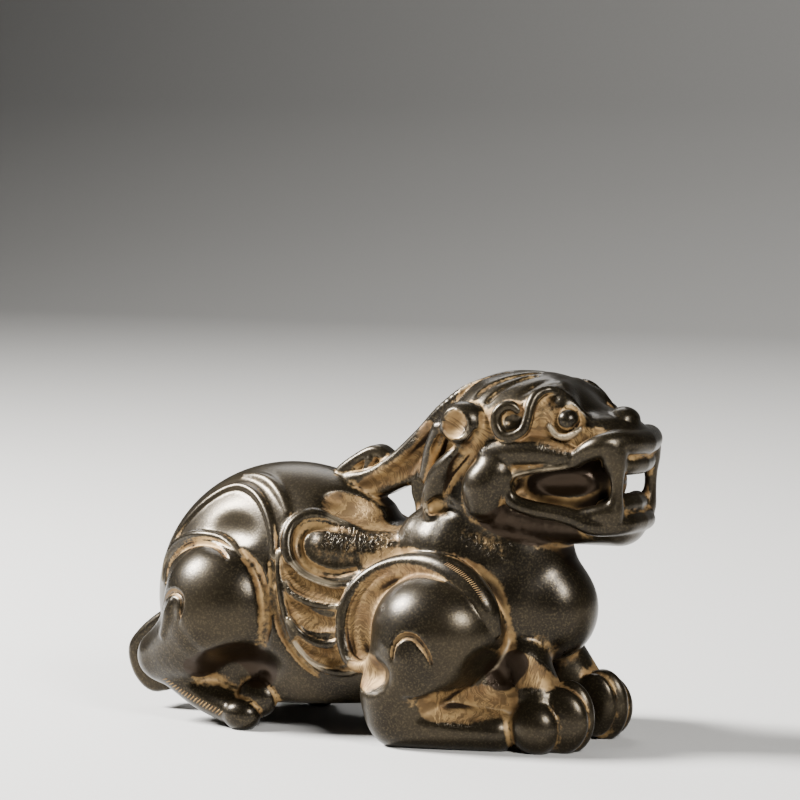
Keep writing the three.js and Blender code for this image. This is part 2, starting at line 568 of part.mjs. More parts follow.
// Fills the places where two parts of the figure would touch along a line or at a point only
function joinDiagonals({ values, index, count }) {
  const inside = place => values[index(...place)] < 0
  const steps = [[1, 0, 0], [0, 1, 0], [0, 0, 1]]
  const past = (place, ...moves) => place.map((n, axis) => moves.reduce((sum, move) => sum + move[axis], n))
  let filled = true
  while (filled) {
    filled = false
    const fill = place => {
      values[index(...place)] = -diagonalFill * gridStep
      filled = true
    }
    for (let i = 0; i < count[0] - 1; i++) {
      for (let j = 0; j < count[1] - 1; j++) {
        for (let k = 0; k < count[2] - 1; k++) {
          const at = values[index(i, j, k)]
          if (Math.abs(at) > diagonalReach * gridStep) continue
          const here = [i, j, k]
          const far = past(here, ...steps)
          for (const [u, v] of [[0, 1], [1, 2], [2, 0]]) {
            const a = past(here, steps[u])
            const b = past(here, steps[v])
            const c = past(here, steps[u], steps[v])
            const same = inside(here) === inside(c) && inside(a) === inside(b)
            if (same && inside(here) !== inside(a)) fill(inside(a) ? c : a)
          }
          const between = steps.map((step, n) => [past(here, step), past(far, step.map(m => -m))]).flat()
          const alone = between.every(place => inside(place) !== inside(here))
          if (inside(here) === inside(far) && alone) fill(inside(here) ? between[0] : here)
        }
      }
    }
  }
}

// One vertex in each cell that the surface crosses, and two facets over each grid edge that it crosses
function netOver({ values, index, count, low }) {
  const vertices = []
  const facets = []
  const cell = new Int32Array(values.length).fill(-1)
  const corners = [0, 1, 2, 3, 4, 5, 6, 7].map(n => [n & 1, n >> 1 & 1, n >> 2])
  const edges = corners.flatMap((a, i) => corners.slice(i + 1)
    .filter(b => Math.abs(a[0] - b[0]) + Math.abs(a[1] - b[1]) + Math.abs(a[2] - b[2]) === 1)
    .map(b => [a, b]))
  for (let i = 0; i < count[0] - 1; i++) {
    for (let j = 0; j < count[1] - 1; j++) {
      for (let k = 0; k < count[2] - 1; k++) {
        const sum = [0, 0, 0]
        let crossings = 0
        for (const [a, b] of edges) {
          const va = values[index(i + a[0], j + a[1], k + a[2])]
          const vb = values[index(i + b[0], j + b[1], k + b[2])]
          if ((va < 0) !== (vb < 0)) {
            const t = va / (va - vb)
            for (let axis = 0; axis < 3; axis++) sum[axis] += a[axis] + (b[axis] - a[axis]) * t
            crossings += 1
          }
        }
        if (crossings > 0) {
          cell[index(i, j, k)] = vertices.length
          vertices.push([i, j, k].map((n, axis) => low[axis] + (n + sum[axis] / crossings) * gridStep))
        }
      }
    }
  }
  const turns = [[0, 1, 2], [1, 2, 0], [2, 0, 1]]
  for (let i = 1; i < count[0] - 1; i++) {
    for (let j = 1; j < count[1] - 1; j++) {
      for (let k = 1; k < count[2] - 1; k++) {
        for (const [axis, u, v] of turns) {
          const end = [i, j, k]
          end[axis] += 1
          const inside = values[index(i, j, k)] < 0
          if (inside !== (values[index(...end)] < 0)) {
            const ring = [[0, 0], [1, 0], [1, 1], [0, 1]].map(([a, b]) => {
              const place = [i, j, k]
              place[u] -= a
              place[v] -= b
              return cell[index(...place)]
            })
            if (!inside) ring.reverse()
            facets.push([ring[0], ring[1], ring[2]], [ring[0], ring[2], ring[3]])
          }
        }
      }
    }
  }
  return { vertices, facets }
}

// Moves each vertex onto the figure's true surface
function settle(figure, vertices) {
  const slopeOf = (x, y, z, near) => [
    (figure.distance(x + probe, y, z) - near) / probe,
    (figure.distance(x, y + probe, z) - near) / probe,
    (figure.distance(x, y, z + probe) - near) / probe,
  ]
  return vertices.map(([x, y, z]) => {
    const near = figure.distance(x, y, z)
    const slope = slopeOf(x, y, z, near)
    const steep = Math.max(slope[0] ** 2 + slope[1] ** 2 + slope[2] ** 2, leastSteep)
    const move = THREE.MathUtils.clamp(near / steep, -gridStep / 2, gridStep / 2)
    return [x - slope[0] * move, y - slope[1] * move, z - slope[2] * move]
  })
}

// Facets. Edges are closed up one by one, the one that changes the shape least first,
// so that flat stretches keep few facets and the carving keeps many.
function planeQuadric([ax, ay, az], [bx, by, bz], [cx, cy, cz]) {
  const side = new THREE.Vector3(cx - ax, cy - ay, cz - az)
  const normal = new THREE.Vector3(bx - ax, by - ay, bz - az).cross(side)
  const area = normal.length() / 2
  normal.normalize()
  const { x, y, z } = normal
  const w = -(x * ax + y * ay + z * az)
  return [x * x, x * y, x * z, x * w, y * y, y * z, y * w, z * z, z * w, w * w].map(n => n * area)
}

const sumOf = (a, b) => a.map((n, i) => n + b[i])

const errorAt = (q, x, y, z) => x * x * q[0] + y * y * q[4] + z * z * q[7] + q[9]
  + 2 * (x * y * q[1] + x * z * q[2] + y * z * q[5] + x * q[3] + y * q[6] + z * q[8])

function bestPlace(q, a, b) {
  const pull = middlePull * (q[0] + q[4] + q[7]) + 1e-9
  const middle = a.map((n, i) => (n + b[i]) / 2)
  const m = new THREE.Matrix3().set(q[0] + pull, q[1], q[2], q[1], q[4] + pull, q[5], q[2], q[5], q[7] + pull)
  const right = new THREE.Vector3(pull * middle[0] - q[3], pull * middle[1] - q[6], pull * middle[2] - q[8])
  const place = right.applyMatrix3(m.invert()).toArray()
  return place.every(Number.isFinite) ? place : middle
}

// A queue of edges, cheapest first
class Queue {
  items = []

  push(item) {
    const items = this.items
    let i = items.push(item) - 1
    while (i > 0) {
      const up = (i - 1) >> 1
      if (items[up].cost <= item.cost) break
      items[i] = items[up]
      i = up
    }
    items[i] = item
  }

  pop() {
    const items = this.items
    const first = items[0]
    const item = items.pop()
    let i = 0
    while (items.length > 0) {
      let down = 2 * i + 1
      if (down >= items.length) break
      if (down + 1 < items.length && items[down + 1].cost < items[down].cost) down += 1
      if (items[down].cost >= item.cost) break
      items[i] = items[down]
      i = down
    }
    if (items.length > 0) items[i] = item
    return first
  }
}

const gapOf = (a, b) => Math.hypot(...a.map((n, i) => n - b[i]))

function thin({ vertices, facets }, target) {
  const places = vertices.map(v => v.slice())
  const quadrics = places.map(() => new Array(10).fill(0))
  const around = places.map(() => new Set())
  const stamp = new Uint32Array(places.length)
  const live = facets.map(f => f.slice())
  live.forEach((facet, n) => {
    const q = planeQuadric(...facet.map(v => places[v]))
    for (const v of facet) {
      quadrics[v] = sumOf(quadrics[v], q)
      around[v].add(n)
    }
  })
  const neighbours = v => new Set([...around[v]].flatMap(n => live[n]).filter(w => w !== v))
  const queue = new Queue()
  const propose = (a, b) => {
    const q = sumOf(quadrics[a], quadrics[b])
    const place = bestPlace(q, places[a], places[b])
    const length = gapOf(places[a], places[b])
    const cost = Math.max(errorAt(q, ...place), 0) + lengthCost * length ** 4
    queue.push({ a, b, place, cost, seen: stamp[a] + stamp[b] })
  }
  const normalOf = (p, q, r) => new THREE.Vector3(q[0] - p[0], q[1] - p[1], q[2] - p[2])
    .cross(new THREE.Vector3(r[0] - p[0], r[1] - p[1], r[2] - p[2]))
  const turnsOver = (v, other, place) => [...around[v]].some(n => {
    const facet = live[n]
    if (facet.includes(other)) return false
    const before = normalOf(...facet.map(w => places[w]))
    const moved = facet.map(w => w === v ? place : places[w])
    const after = normalOf(...moved)
    const longest = Math.max(...moved.map((p, i) => gapOf(p, moved[(i + 1) % 3])))
    const turned = after.dot(before) < leastTurn * after.length() * before.length()
    return turned || after.length() < leastWidth * longest ** 2
  })
  for (const [a, b, c] of live) {
    if (a < b) propose(a, b)
    if (b < c) propose(b, c)
    if (c < a) propose(c, a)
  }
  let left = live.length
  while (left > target && queue.items.length > 0) {
    const { a, b, place, seen } = queue.pop()
    if (around[a] === null || around[b] === null || seen !== stamp[a] + stamp[b]) continue
    const nearA = neighbours(a)
    const shared = [...neighbours(b)].filter(v => nearA.has(v))
    if (!nearA.has(b) || shared.length !== 2) continue
    if (turnsOver(a, b, place) || turnsOver(b, a, place)) continue
    for (const n of around[b]) {
      const facet = live[n]
      if (facet.includes(a)) {
        for (const v of facet) around[v].delete(n)
        live[n] = null
        left -= 1
      } else {
        facet[facet.indexOf(b)] = a
        around[a].add(n)
      }
    }
    around[b] = null
    places[a] = place
    quadrics[a] = sumOf(quadrics[a], quadrics[b])
    stamp[a] += stamp[b] + 1
    for (const v of neighbours(a)) {
      stamp[v] += 1
      for (const w of neighbours(v)) propose(Math.min(v, w), Math.max(v, w))
    }
  }
  const kept = live.filter(Boolean)
  const used = [...new Set(kept.flat())]
  const number = new Map(used.map((v, n) => [v, n]))
  return { vertices: used.map(v => places[v]), facets: kept.map(facet => facet.map(v => number.get(v))) }
}

// The whole beast, from the masses to the carving
function pixiu() {
  const figure = new Figure()
  masses(figure)
  bodyCarving(figure)
  paws(figure)
  head(figure)
  mane(figure)
  return figure
}

// Takes a vertex that lies almost on the sole down through it, so that the sole's edge is clean
function clearOfSole([x, y, z]) {
  return [x, y, Math.abs(z - soleLevel) < soleMargin ? soleLevel - soleMargin : z]
}

// Closed solid from vertices and facets
function solidOf(wasm, positions, indices) {
  const mesh = new wasm.Mesh({
    numProp: 3,
    vertProperties: Float32Array.from(positions),
    triVerts: Uint32Array.from(indices),
  })
  return new wasm.Manifold(mesh)
}

// Everything below the soles, which is cut away so that they are flat
function groundBlock(low, high, top) {
  const depth = top - low[2]
  const size = [high[0] - low[0], 2 * high[1], depth]
  let geometry = new THREE.BoxGeometry(...size)
  geometry.deleteAttribute('normal')
  geometry.deleteAttribute('uv')
  geometry = mergeVertices(geometry)
  geometry.translate((low[0] + high[0]) / 2, 0, top - depth / 2)
  return geometry
}

const wasm = await Module()
wasm.setup()
const figure = pixiu()
const grid = sample(figure, searchLow, searchHigh)
fillHollows(grid)
joinDiagonals(grid)
const net = netOver(grid)
const whole = solidOf(wasm, settle(figure, net.vertices).map(clearOfSole).flat(), net.facets.flat())
const block = groundBlock(searchLow, searchHigh, soleLevel)
const ground = solidOf(wasm, block.attributes.position.array, block.index.array)
const cast = whole.subtract(ground).getMesh()
const rowAt = (numbers, n) => [...numbers.slice(3 * n, 3 * n + 3)]
const rows = numbers => Array.from({ length: numbers.length / 3 }, (_, n) => rowAt(numbers, n))
const skin = thin({ vertices: rows(cast.vertProperties), facets: rows(cast.triVerts) }, facetCount)
const places = skin.vertices.map(([x, y, z]) => [x, y, z < soleLevel + soleMargin / 2 ? soleLevel : z])

const geometry = new THREE.BufferGeometry()
geometry.setAttribute('position', new THREE.Float32BufferAttribute(places.flat(), 3))
geometry.setIndex(skin.facets.flat())
geometry.scale(figureLength / gridLength, figureWidth / gridWidth, figureHeight / gridHeight)
geometry.computeBoundingBox()
const { min, max } = geometry.boundingBox
geometry.translate(-(min.x + max.x) / 2, -(min.y + max.y) / 2, -min.z)
geometry.computeVertexNormals()

const brass = new THREE.MeshStandardMaterial({ color: 0x4a4234, roughness: 0.35, metalness: 1 })
const body = new THREE.Mesh(geometry, brass)
body.name = 'pixiu_figure'
const group = new THREE.Group()
group.add(body)

export default group
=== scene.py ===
"""Looks of the pixiu figure: the cast, chased and hand-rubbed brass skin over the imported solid."""
import math

import bpy
import numpy as np
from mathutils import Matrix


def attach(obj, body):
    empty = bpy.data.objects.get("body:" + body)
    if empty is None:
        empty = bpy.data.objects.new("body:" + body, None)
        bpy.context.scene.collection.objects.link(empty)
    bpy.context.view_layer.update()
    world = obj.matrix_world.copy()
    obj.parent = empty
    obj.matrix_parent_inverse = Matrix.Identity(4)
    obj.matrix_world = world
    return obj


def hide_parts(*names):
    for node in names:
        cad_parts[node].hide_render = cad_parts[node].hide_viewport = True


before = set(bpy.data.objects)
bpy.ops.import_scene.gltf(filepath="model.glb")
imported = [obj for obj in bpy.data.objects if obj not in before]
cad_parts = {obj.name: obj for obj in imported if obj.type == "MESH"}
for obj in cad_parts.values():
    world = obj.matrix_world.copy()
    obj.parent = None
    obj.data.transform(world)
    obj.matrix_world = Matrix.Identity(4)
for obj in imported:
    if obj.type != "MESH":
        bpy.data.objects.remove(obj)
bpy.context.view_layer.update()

# Sizes are in millimetres, in the frame the figure is drawn in: it is moved along x at the end
MM = 0.001
MODEL_MIDDLE_X = -1.375
MODEL_LOW = (-62.0, -32.0, -1.0)
MODEL_HIGH = (60.0, 32.0, 72.0)

# Radii of the carving's lines and small forms
RIM, FINE_RIM = 1.2, 0.9
GROOVE, FINE_GROOVE, WIDE_GROOVE = 1.0, 0.6, 1.7
EYE_SIZE = 2.0
CANINE_SIZE = 1.1
EAR_SIZE = 4.4
MANE_SIZE = 1.4
TOE_SIZE = 4.8
# a groove deeper than this is scored, over this share of its width
SCORED_DEPTH, SCORED_SHARE = 0.95, 0.6

# Steps from one given point of a curve to the next
LIMB_STEPS, BAND_STEPS, ROW_STEPS = 5, 6, 4
# Distance where nothing is near, for one form and for the whole figure
OUT_OF_REACH, FAR = 1000.0, 50.0
# How far outside its box an added form and a cut one are still worked out
ADD_MARGIN, CUT_MARGIN = 7.0, 1.0
# Spacing at which the side surface is looked for, from outside in
SIDE_STEP = 0.25
# Least values to divide by
LEAST_SLOPE, LEAST_SPAN, LEAST_LENGTH = 1e-4, 1e-6, 1e-3

f32 = np.float32


# Curves and solid forms, each the same on both sides of the middle
def spline(points, steps):
    """Smooth curve through rows of numbers."""
    given = np.asarray(points, float)
    if len(given) < 3:
        return given
    held = np.vstack([2 * given[0] - given[1], given, 2 * given[-1] - given[-2]])
    t = np.linspace(0, 1, steps, endpoint=False)[:, None]
    rows = []
    for a, b, c, d in zip(held, held[1:], held[2:], held[3:]):
        bend = (2 * a - 5 * b + 4 * c - d) * t**2 + (3 * b - a - 3 * c + d) * t**3
        rows.append(0.5 * (2 * b + (c - a) * t + bend))
    return np.vstack(rows + [given[-1:]])


class Shape:
    """A distance function and the box that it fills."""

    def __init__(self, distance, low, high):
        self.distance = distance
        self.low = np.asarray(low, float)
        self.high = np.asarray(high, float)


def blob(centre, radii, pitch=0.0, yaw=0.0, roll=0.0):
    """Ellipsoid. pitch lifts its front, yaw turns its front outwards, roll leans its top outwards."""
    middle = np.asarray(centre, float)
    size = np.asarray(radii, float)
    a, b, g = np.radians([pitch, yaw, roll])
    tip = np.array([[np.cos(a), 0, -np.sin(a)], [0, 1, 0], [np.sin(a), 0, np.cos(a)]])
    turn = np.array([[np.cos(b), -np.sin(b), 0], [np.sin(b), np.cos(b), 0], [0, 0, 1]])
    lean = np.array([[1, 0, 0], [0, np.cos(g), np.sin(g)], [0, -np.sin(g), np.cos(g)]])
    axes = turn @ tip @ lean
    half = np.sqrt((axes ** 2) @ (size ** 2))
    way = axes.astype(f32)
    per = (1 / size).astype(f32)

    def distance(x, y, z):
        dx, dy, dz = x - f32(middle[0]), y - f32(middle[1]), z - f32(middle[2])
        u = (dx * way[0, 0] + dy * way[1, 0] + dz * way[2, 0]) * per[0]
        v = (dx * way[0, 1] + dy * way[1, 1] + dz * way[2, 1]) * per[1]
        w = (dx * way[0, 2] + dy * way[1, 2] + dz * way[2, 2]) * per[2]
        level = np.sqrt(u * u + v * v + w * w)
        slope = np.sqrt((u * per[0]) ** 2 + (v * per[1]) ** 2 + (w * per[2]) ** 2)
        return level * (level - 1) / np.maximum(slope, f32(LEAST_SLOPE))

    return Shape(distance, middle - half, middle + half)


def limb(path, squash=1.0):
    """Round tube through points x, y, z, radius. squash over 1 makes it wider across."""
    rows = spline(path, LIMB_STEPS).astype(f32)
    thickest = rows[:, 3].max()
    narrowed = f32(1 / squash)

    def distance(x, y, z):
        best = np.full(x.shape, OUT_OF_REACH, f32)
        for p, n in zip(rows[:-1], rows[1:]):
            ex, ey, ez = n[0] - p[0], (n[1] - p[1]) * narrowed, n[2] - p[2]
            span = max(ex * ex + ey * ey + ez * ez, LEAST_SPAN)
            dx, dy, dz = x - p[0], (y - p[1]) * narrowed, z - p[2]
            t = np.clip((dx * ex + dy * ey + dz * ez) / span, 0, 1)
            off = np.sqrt((dx - t * ex) ** 2 + (dy - t * ey) ** 2 + (dz - t * ez) ** 2)
            best = np.minimum(best, off - (p[3] + t * (n[3] - p[3])))
        return best

    return Shape(distance, rows[:, :3].min(0) - thickest, rows[:, :3].max(0) + thickest)


def wire(path, size):
    """Tube of one thickness through points x, y, z."""
    return limb([(x, y, z, size) for x, y, z in path])


def band(path, width, edge):
    """Flat strap on the middle through points x, z, half thickness and, where given, own half width."""
    given = np.asarray(path, float)
    if given.shape[1] == 3:
        given = np.hstack([given, np.full((len(given), 1), width)])
    rows = spline(given, BAND_STEPS).astype(f32)
    thickest = rows[:, 2].max()
    widest = rows[:, 3].max()

    def distance(x, y, z):
        best = np.full(x.shape, OUT_OF_REACH, f32)
        wide = np.full(x.shape, widest, f32)
        for p, n in zip(rows[:-1], rows[1:]):
            ex, ez = n[0] - p[0], n[1] - p[1]
            dx, dz = x - p[0], z - p[1]
            t = np.clip((dx * ex + dz * ez) / max(ex * ex + ez * ez, LEAST_SPAN), 0, 1)
            off = np.sqrt((dx - t * ex) ** 2 + (dz - t * ez) ** 2) - (p[2] + t * (n[2] - p[2]))
            near = off < best
            wide = np.where(near, p[3] + t * (n[3] - p[3]), wide)
            best = np.where(near, off, best)
        above = best + f32(edge)
        beside = np.abs(y) - wide + f32(edge)
        outside = np.sqrt(np.maximum(above, 0) ** 2 + np.maximum(beside, 0) ** 2)
        return outside + np.minimum(np.maximum(above, beside), 0) - f32(edge)

    low = [rows[:, 0].min() - thickest, -widest, rows[:, 1].min() - thickest]
    high = [rows[:, 0].max() + thickest, widest, rows[:, 1].max() + thickest]
    return Shape(distance, low, high)


def blended(a, b, fillet):
    """The nearer of two distances, with a soft fillet where they meet."""
    h = np.maximum(fillet - np.abs(a - b), 0) / f32(fillet)
    return np.minimum(a, b) - h * h * h * f32(fillet / 6)


def within(x, y, z, low, high):
    """Numbers of the points inside a box."""
    return np.nonzero((x > low[0]) & (x < high[0]) & (y > low[1]) & (y < high[1])
                      & (z > low[2]) & (z < high[2]))[0]


class Figure:
    """An ordered list of forms that are added to or cut from what came before."""

    def __init__(self):
        self.steps = []
        self.scored = []
        self.shade_marked = []

    def add(self, shape, fillet):
        self.steps.append((True, shape, fillet))

    def cut(self, shape, fillet):
        self.steps.append((False, shape, fillet))

    def dry(self, path, share=1.0):
        """Notes a path x, y, z, radius where the brass is left dry and scored by the chasing tool."""
        self.scored.append((spline(path, LIMB_STEPS), share))

    # painted shade: paths in creases, hollows and under parts that are darkened to dark brown
    def paint_shade(self, path, share=1.0):
        """Notes a path x, y, z, radius that gets a painted dark-brown shade."""
        self.shade_marked.append((spline(path, LIMB_STEPS), share))

    def __call__(self, points):
        """Distance from the surface at each point, below 0 inside."""
        at = np.asarray(points, f32)
        x, y, z = at[:, 0].copy(), np.abs(at[:, 1]), at[:, 2].copy()
        d = np.full(len(x), FAR, f32)
        for added, shape, fillet in self.steps:
            margin = (ADD_MARGIN if added else CUT_MARGIN) + fillet
            low, high = (shape.low - margin).astype(f32), (shape.high + margin).astype(f32)
            near = within(x, y, z, low, high)
            if not len(near):
                continue
            v = shape.distance(x[near], y[near], z[near])
            if added:
                d[near] = blended(d[near], v, fillet)
            else:
                d[near] = -blended(-d[near], v, fillet)
        return d

    def on(self, path):
        """Lays points x, z, radius on the side surface."""
        given = np.asarray(path, float)
        ys = np.arange(MODEL_HIGH[1], 0, -SIDE_STEP)
        n = len(ys)
        lines = [np.repeat(given[:, 0], n), np.tile(ys, len(given)), np.repeat(given[:, 1], n)]
        distances = self(np.stack(lines, 1)).reshape(len(given), n)
        laid = []
        for point, row in zip(given, distances):
            k = int(np.argmax(row < 0))
            y = 0.0
            if row[k] < 0 and k > 0:
                y = ys[k - 1] + (ys[k] - ys[k - 1]) * row[k - 1] / (row[k - 1] - row[k])
            laid.append([point[0], y, point[1], point[2]])
        return laid

    def laid(self, path, size, tip, height):
        """Points x, z on the side surface as x, y, z, radius, thinner at both tips."""
        n = len(path) - 1
        swell = [tip + (1 - tip) * (1 - (2 * k / n - 1) ** 2) for k in range(n + 1)]
        rows = self.on([(x, z, size * s) for (x, z), s in zip(path, swell)])
        return [[x, max(y + height * s, 0), z, r] for (x, y, z, r), s in zip(rows, swell)]

    def ridge(self, path, size, rise, fillet, tip):
        """Raised line along points x, z."""
        self.add(limb(self.laid(path, size, tip, rise - size)), fillet)

    def groove(self, path, size, depth, fillet, tip):
        """Cut line along points x, z, scored where it is deep."""
        laid = self.laid(path, size, tip, size - depth)
        self.cut(limb(laid), fillet)
        if depth > SCORED_DEPTH:
            self.dry([[x, y, z, SCORED_SHARE * r] for x, y, z, r in laid])


# The figure's masses, carving, paws, head and mane, in the order they are worked
def masses(figure):
    # trunk
    figure.add(blob((-20, 0, 22.4), (28.6, 17, 26.2)), fillet=1)
    figure.add(blob((4, 0, 20.9), (25, 15, 17)), fillet=6)
    figure.cut(limb([(-46, 27, 0, 12), (-20, 26, 2, 13), (4, 26, 2, 10)]), fillet=5)
    figure.add(blob((27, 0, 25), (10.2, 10.8, 11)), fillet=8)
    figure.add(blob((33, 0, 24.6), (8.3, 8, 9.4)), fillet=2)
    # neck
    figure.add(limb([(16, 0, 29.7, 12), (19, 0, 39.6, 11), (24, 0, 52.5, 11)], squash=1), fillet=5)
    figure.add(limb([(20, 0, 39.6, 9.5), (26, 0, 34.5, 10)]), fillet=6)
    figure.add(limb([(11, 5, 36, 6.2), (16.4, 5.7, 34.6, 7.9), (22, 5.2, 32.2, 7)]), fillet=2)
    figure.cut(blob((-8, 0, -7.5), (60, 40, 13)), fillet=2)
    # thigh: the big ball, drawn down and back into the hock
    figure.add(blob((-28.5, 12, 23.1), (12, 10, 11.6)), fillet=1.5)
    figure.add(limb([
        (-30.5, 12.5, 19.1, 9.5), (-36.5, 12.2, 14.7, 7.2), (-41.8, 12, 12.2, 5),
    ]), fillet=3)
    figure.add(limb([
        (-42.4, 12, 12.2, 4.3), (-39.2, 12.2, 9.7, 3.6), (-33, 12.8, 6, 3.4), (-27, 13.4, 3.9, 3.3),
    ]), fillet=2)
    # shoulder ball and the foreleg folded under it
    figure.add(blob((16.5, 13, 20.8), (12.5, 10.8, 10.8)), fillet=1.5)
    figure.add(limb([(14, 15.5, 16, 9), (10.5, 16.3, 10.5, 7.4), (9.8, 16.3, 6.8, 6.2)]), fillet=3)
    figure.add(limb([(10, 16.5, 4.6, 5), (18, 15, 4, 4.4), (28, 12.5, 3.3, 3.7)]), fillet=2)
    figure.add(limb([(12, 10, 9, 6), (28, 7, 10, 5.5)]), fillet=2)
    figure.add(limb([(31, 7.4, 15, 4.6), (34.6, 8.6, 8.8, 4.6)]), fillet=4)


def paws(figure):
    # each toe's middle, radii and fillet
    toes = [
        ((35.3, 12, 4.5), (TOE_SIZE, 3.6, TOE_SIZE + 0.1), 1.2),
        ((38.6, 9.6, 5.7), (5.9, 2.7, 6.1), 0.5),
        ((39.8, 7.2, 6.2), (4.9, 2.2, 6.6), 0.5),
        ((38.9, 5.2, 6.4), (4.3, 1.7, 5.8), 0.5),
        # hind
        ((-23.7, 14.8, 2.7), (3.8, 2.9, 3), 0.8),
        ((-21.6, 12.5, 5.6), (4, 2.5, 3.7), 0.3),
        ((-19.4, 10.3, 8.9), (4, 2.5, 3.7), 0.3),
        ((-17.4, 8, 11.4), (3.8, 2.2, 3.7), 0.3),
    ]
    for centre, radii, fillet in toes:
        figure.add(blob(centre, radii), fillet)


def shoulder_carving(figure):
    # floor of the groove round the ball
    figure.add(limb([
        (6, 15, 13.5, 1.6), (2.4, 14, 15, 1.9), (1, 13.4, 18.5, 2), (0.9, 13.2, 22, 2),
        (2, 12.8, 26, 2), (4.6, 12.4, 29, 2), (8.6, 12.2, 30.9, 2), (13, 12.6, 31.4, 2),
        (17.6, 13.2, 30.8, 2), (21.6, 13.8, 28.6, 2), (24.6, 14, 25.2, 2), (26, 14, 21, 1.6),
    ]), fillet=1)
    # crescent that ends in a hook below
    figure.add(limb([
        (7.2, 18.6, 17.4, 0.8), (5, 18, 14.6, 1), (2, 16.8, 13.9, 1.2), (-0.6, 15.8, 15.3, 1.3),
        (-2, 15.2, 18.5, 1.3), (-2.2, 15, 22.2, 1.3), (-1.4, 14.6, 25.4, 1.3), (0.4, 14, 28.3, 1.3),
        (3.2, 13.2, 30.6, 1.4), (7, 12.6, 32.2, 1.6), (11.4, 12.6, 32.8, 2),
        (15.8, 13.2, 32.6, 2.5), (20.2, 14, 31.2, 2.9), (24.2, 14.6, 28.7, 2.9),
        (27, 15, 25.4, 2.4), (28.6, 14.4, 21.6, 1.1),
    ]), fillet=0.6)
    figure.dry([
        (5, 17, 13.6, 1.4), (2.4, 16, 15, 1.7), (1.6, 15.5, 18.5, 1.9), (1.6, 15.2, 22, 1.9),
        (2.6, 14.8, 26, 1.9), (5.2, 14.4, 29, 1.8), (9, 14.2, 30.6, 1.6), (13, 14.4, 31, 1.4),
        (17.6, 15, 30.2, 1.1), (21.6, 15.4, 28, 0.9),
    ])
    # pocket under the hook, and the arch over the top of the foreleg
    figure.cut(blob((6.4, 25.4, 13.4), (5.4, 5.6, 3.3), pitch=6), fillet=3.4)
    figure.dry([(2.6, 17, 13, 2.4), (7, 20.5, 13.6, 2.8)])
    # a painted dark-brown shade in the bottom of the pocket
    figure.paint_shade([(6, 20, 12.6, 1.6), (8.6, 20.6, 12.2, 1.8)], share=0.62)
    arch = [
        (12.9, 17), (13, 18.8), (13.7, 20.3), (15.1, 21.2), (16.9, 21.1), (18.4, 20), (19.5, 18.3),
        (20, 16.6),
    ]
    figure.groove(arch, FINE_GROOVE, depth=0.7, fillet=0.5, tip=0.5)
    # a painted dark shade along the arch's crease
    figure.paint_shade(figure.laid(arch, FINE_GROOVE, tip=0.5, height=0), share=0.75)
    figure.add(limb([
        (15.6, 21.6, 18.4, 1.4), (15.8, 21.4, 16, 2.2), (15.2, 20, 11.5, 3.6),
    ]), fillet=0.8)


def leg_carving(figure):
    # recess over the forearm, and the hollow between it and the chest
    figure.cut(limb([
        (15.2, 23.2, 8.8, 0.9), (19, 21.2, 8.2, 2), (24, 18.6, 8.2, 2.9), (28.6, 16.8, 9.6, 3.2),
    ]), fillet=2.2)
    figure.cut(blob((28.8, 17.6, 13.2), (3.8, 6.6, 5), pitch=10), fillet=3.5)
    figure.cut(limb([(0.8, 20, 12.4, 1.6), (5, 23, 12.2, 1.2)]), fillet=1)
    figure.dry([(19, 19.2, 8.2, 2.2), (24, 16, 8.2, 2.6), (29, 13.8, 9.6, 2.8)])
    figure.dry([(33, 12.2, 14.6, 2.6), (36.4, 10.4, 13.2, 1.6)])
    # a painted dark-brown shade in the hollow between the forearm and the chest
    figure.paint_shade([(28.5, 12.5, 13.5, 2.8), (31, 11.5, 15.5, 2.4)])


def wing_carving(figure):
    rim = [
        (0.8, 35.6), (-3.4, 38.2), (-7.6, 40.1), (-11.2, 40.3), (-13.4, 38.9), (-14.2, 36.8),
        (-13.9, 34.3), (-12.7, 31.8), (-10.6, 29.9), (-7.8, 28.5), (-4.6, 27.8), (-1.2, 28.2),
    ]
    inside = [
        (0.6, 33.6), (-4, 36.4), (-7.4, 38), (-10.2, 38.2), (-11.8, 36.9), (-12, 35), (-11.2, 33),
        (-9.6, 31.4), (-7.2, 30.4), (-4.4, 30), (-0.8, 30.8),
    ]
    lobe = figure.laid([(-7.6, 34.4), (-4.4, 34), (0.2, 33.8), (4.6, 34.6)], 3.8, 0.8, -2.9)
    figure.ridge(rim, RIM, rise=1.2, fillet=0.6, tip=0.6)
    figure.groove(inside, GROOVE, depth=0.9, fillet=0.8, tip=0.5)
    figure.add(limb(lobe), fillet=2)
    figure.dry(lobe, share=0.5)


def feather_carving(figure):
    edge = [
        (-15.2, 33.4), (-14.9, 30.6), (-14.2, 26.8), (-13.4, 23.4), (-12.2, 19.6), (-10.6, 16.4),
        (-8.4, 13.8), (-5.6, 12.2), (-2.4, 11.9), (0.4, 12.8),
    ]
    rims = [
        [(-13.4, 28), (-12.2, 26.3), (-9.8, 25.1), (-6.7, 24.4), (-3.2, 24.2)],
        [(-12.2, 21.5), (-10.8, 19.2), (-8.7, 17.7), (-5.4, 17.1), (-2.4, 18)],
    ]
    hollows = [
        [(-13, 30.4), (-11.2, 28.2), (-8.4, 26.8), (-5.2, 26.1), (-2.6, 26.3)],
        [(-11.8, 24.6), (-10, 22.4), (-7.4, 21), (-4.2, 20.8)],
        [(-10.4, 17.2), (-8.2, 15.4), (-5.2, 14.4), (-2, 14.9)],
    ]
    # step down from the wing to the flank
    figure.groove([
        (-16.8, 31.8), (-16.2, 27), (-15, 22), (-13.4, 17.6), (-11, 13.8), (-8, 10.8),
    ], GROOVE, depth=0.8, fillet=1, tip=0.4)
    figure.ridge(edge, FINE_RIM, rise=1, fillet=0.5, tip=0.7)
    for path in hollows:
        figure.groove(path, WIDE_GROOVE, depth=1.3, fillet=0.8, tip=0.6)
        figure.dry(figure.laid(path, GROOVE, tip=0.6, height=-0.6), share=0.8)
    for path in rims:
        figure.ridge(path, FINE_RIM, rise=0.9, fillet=0.4, tip=0.7)


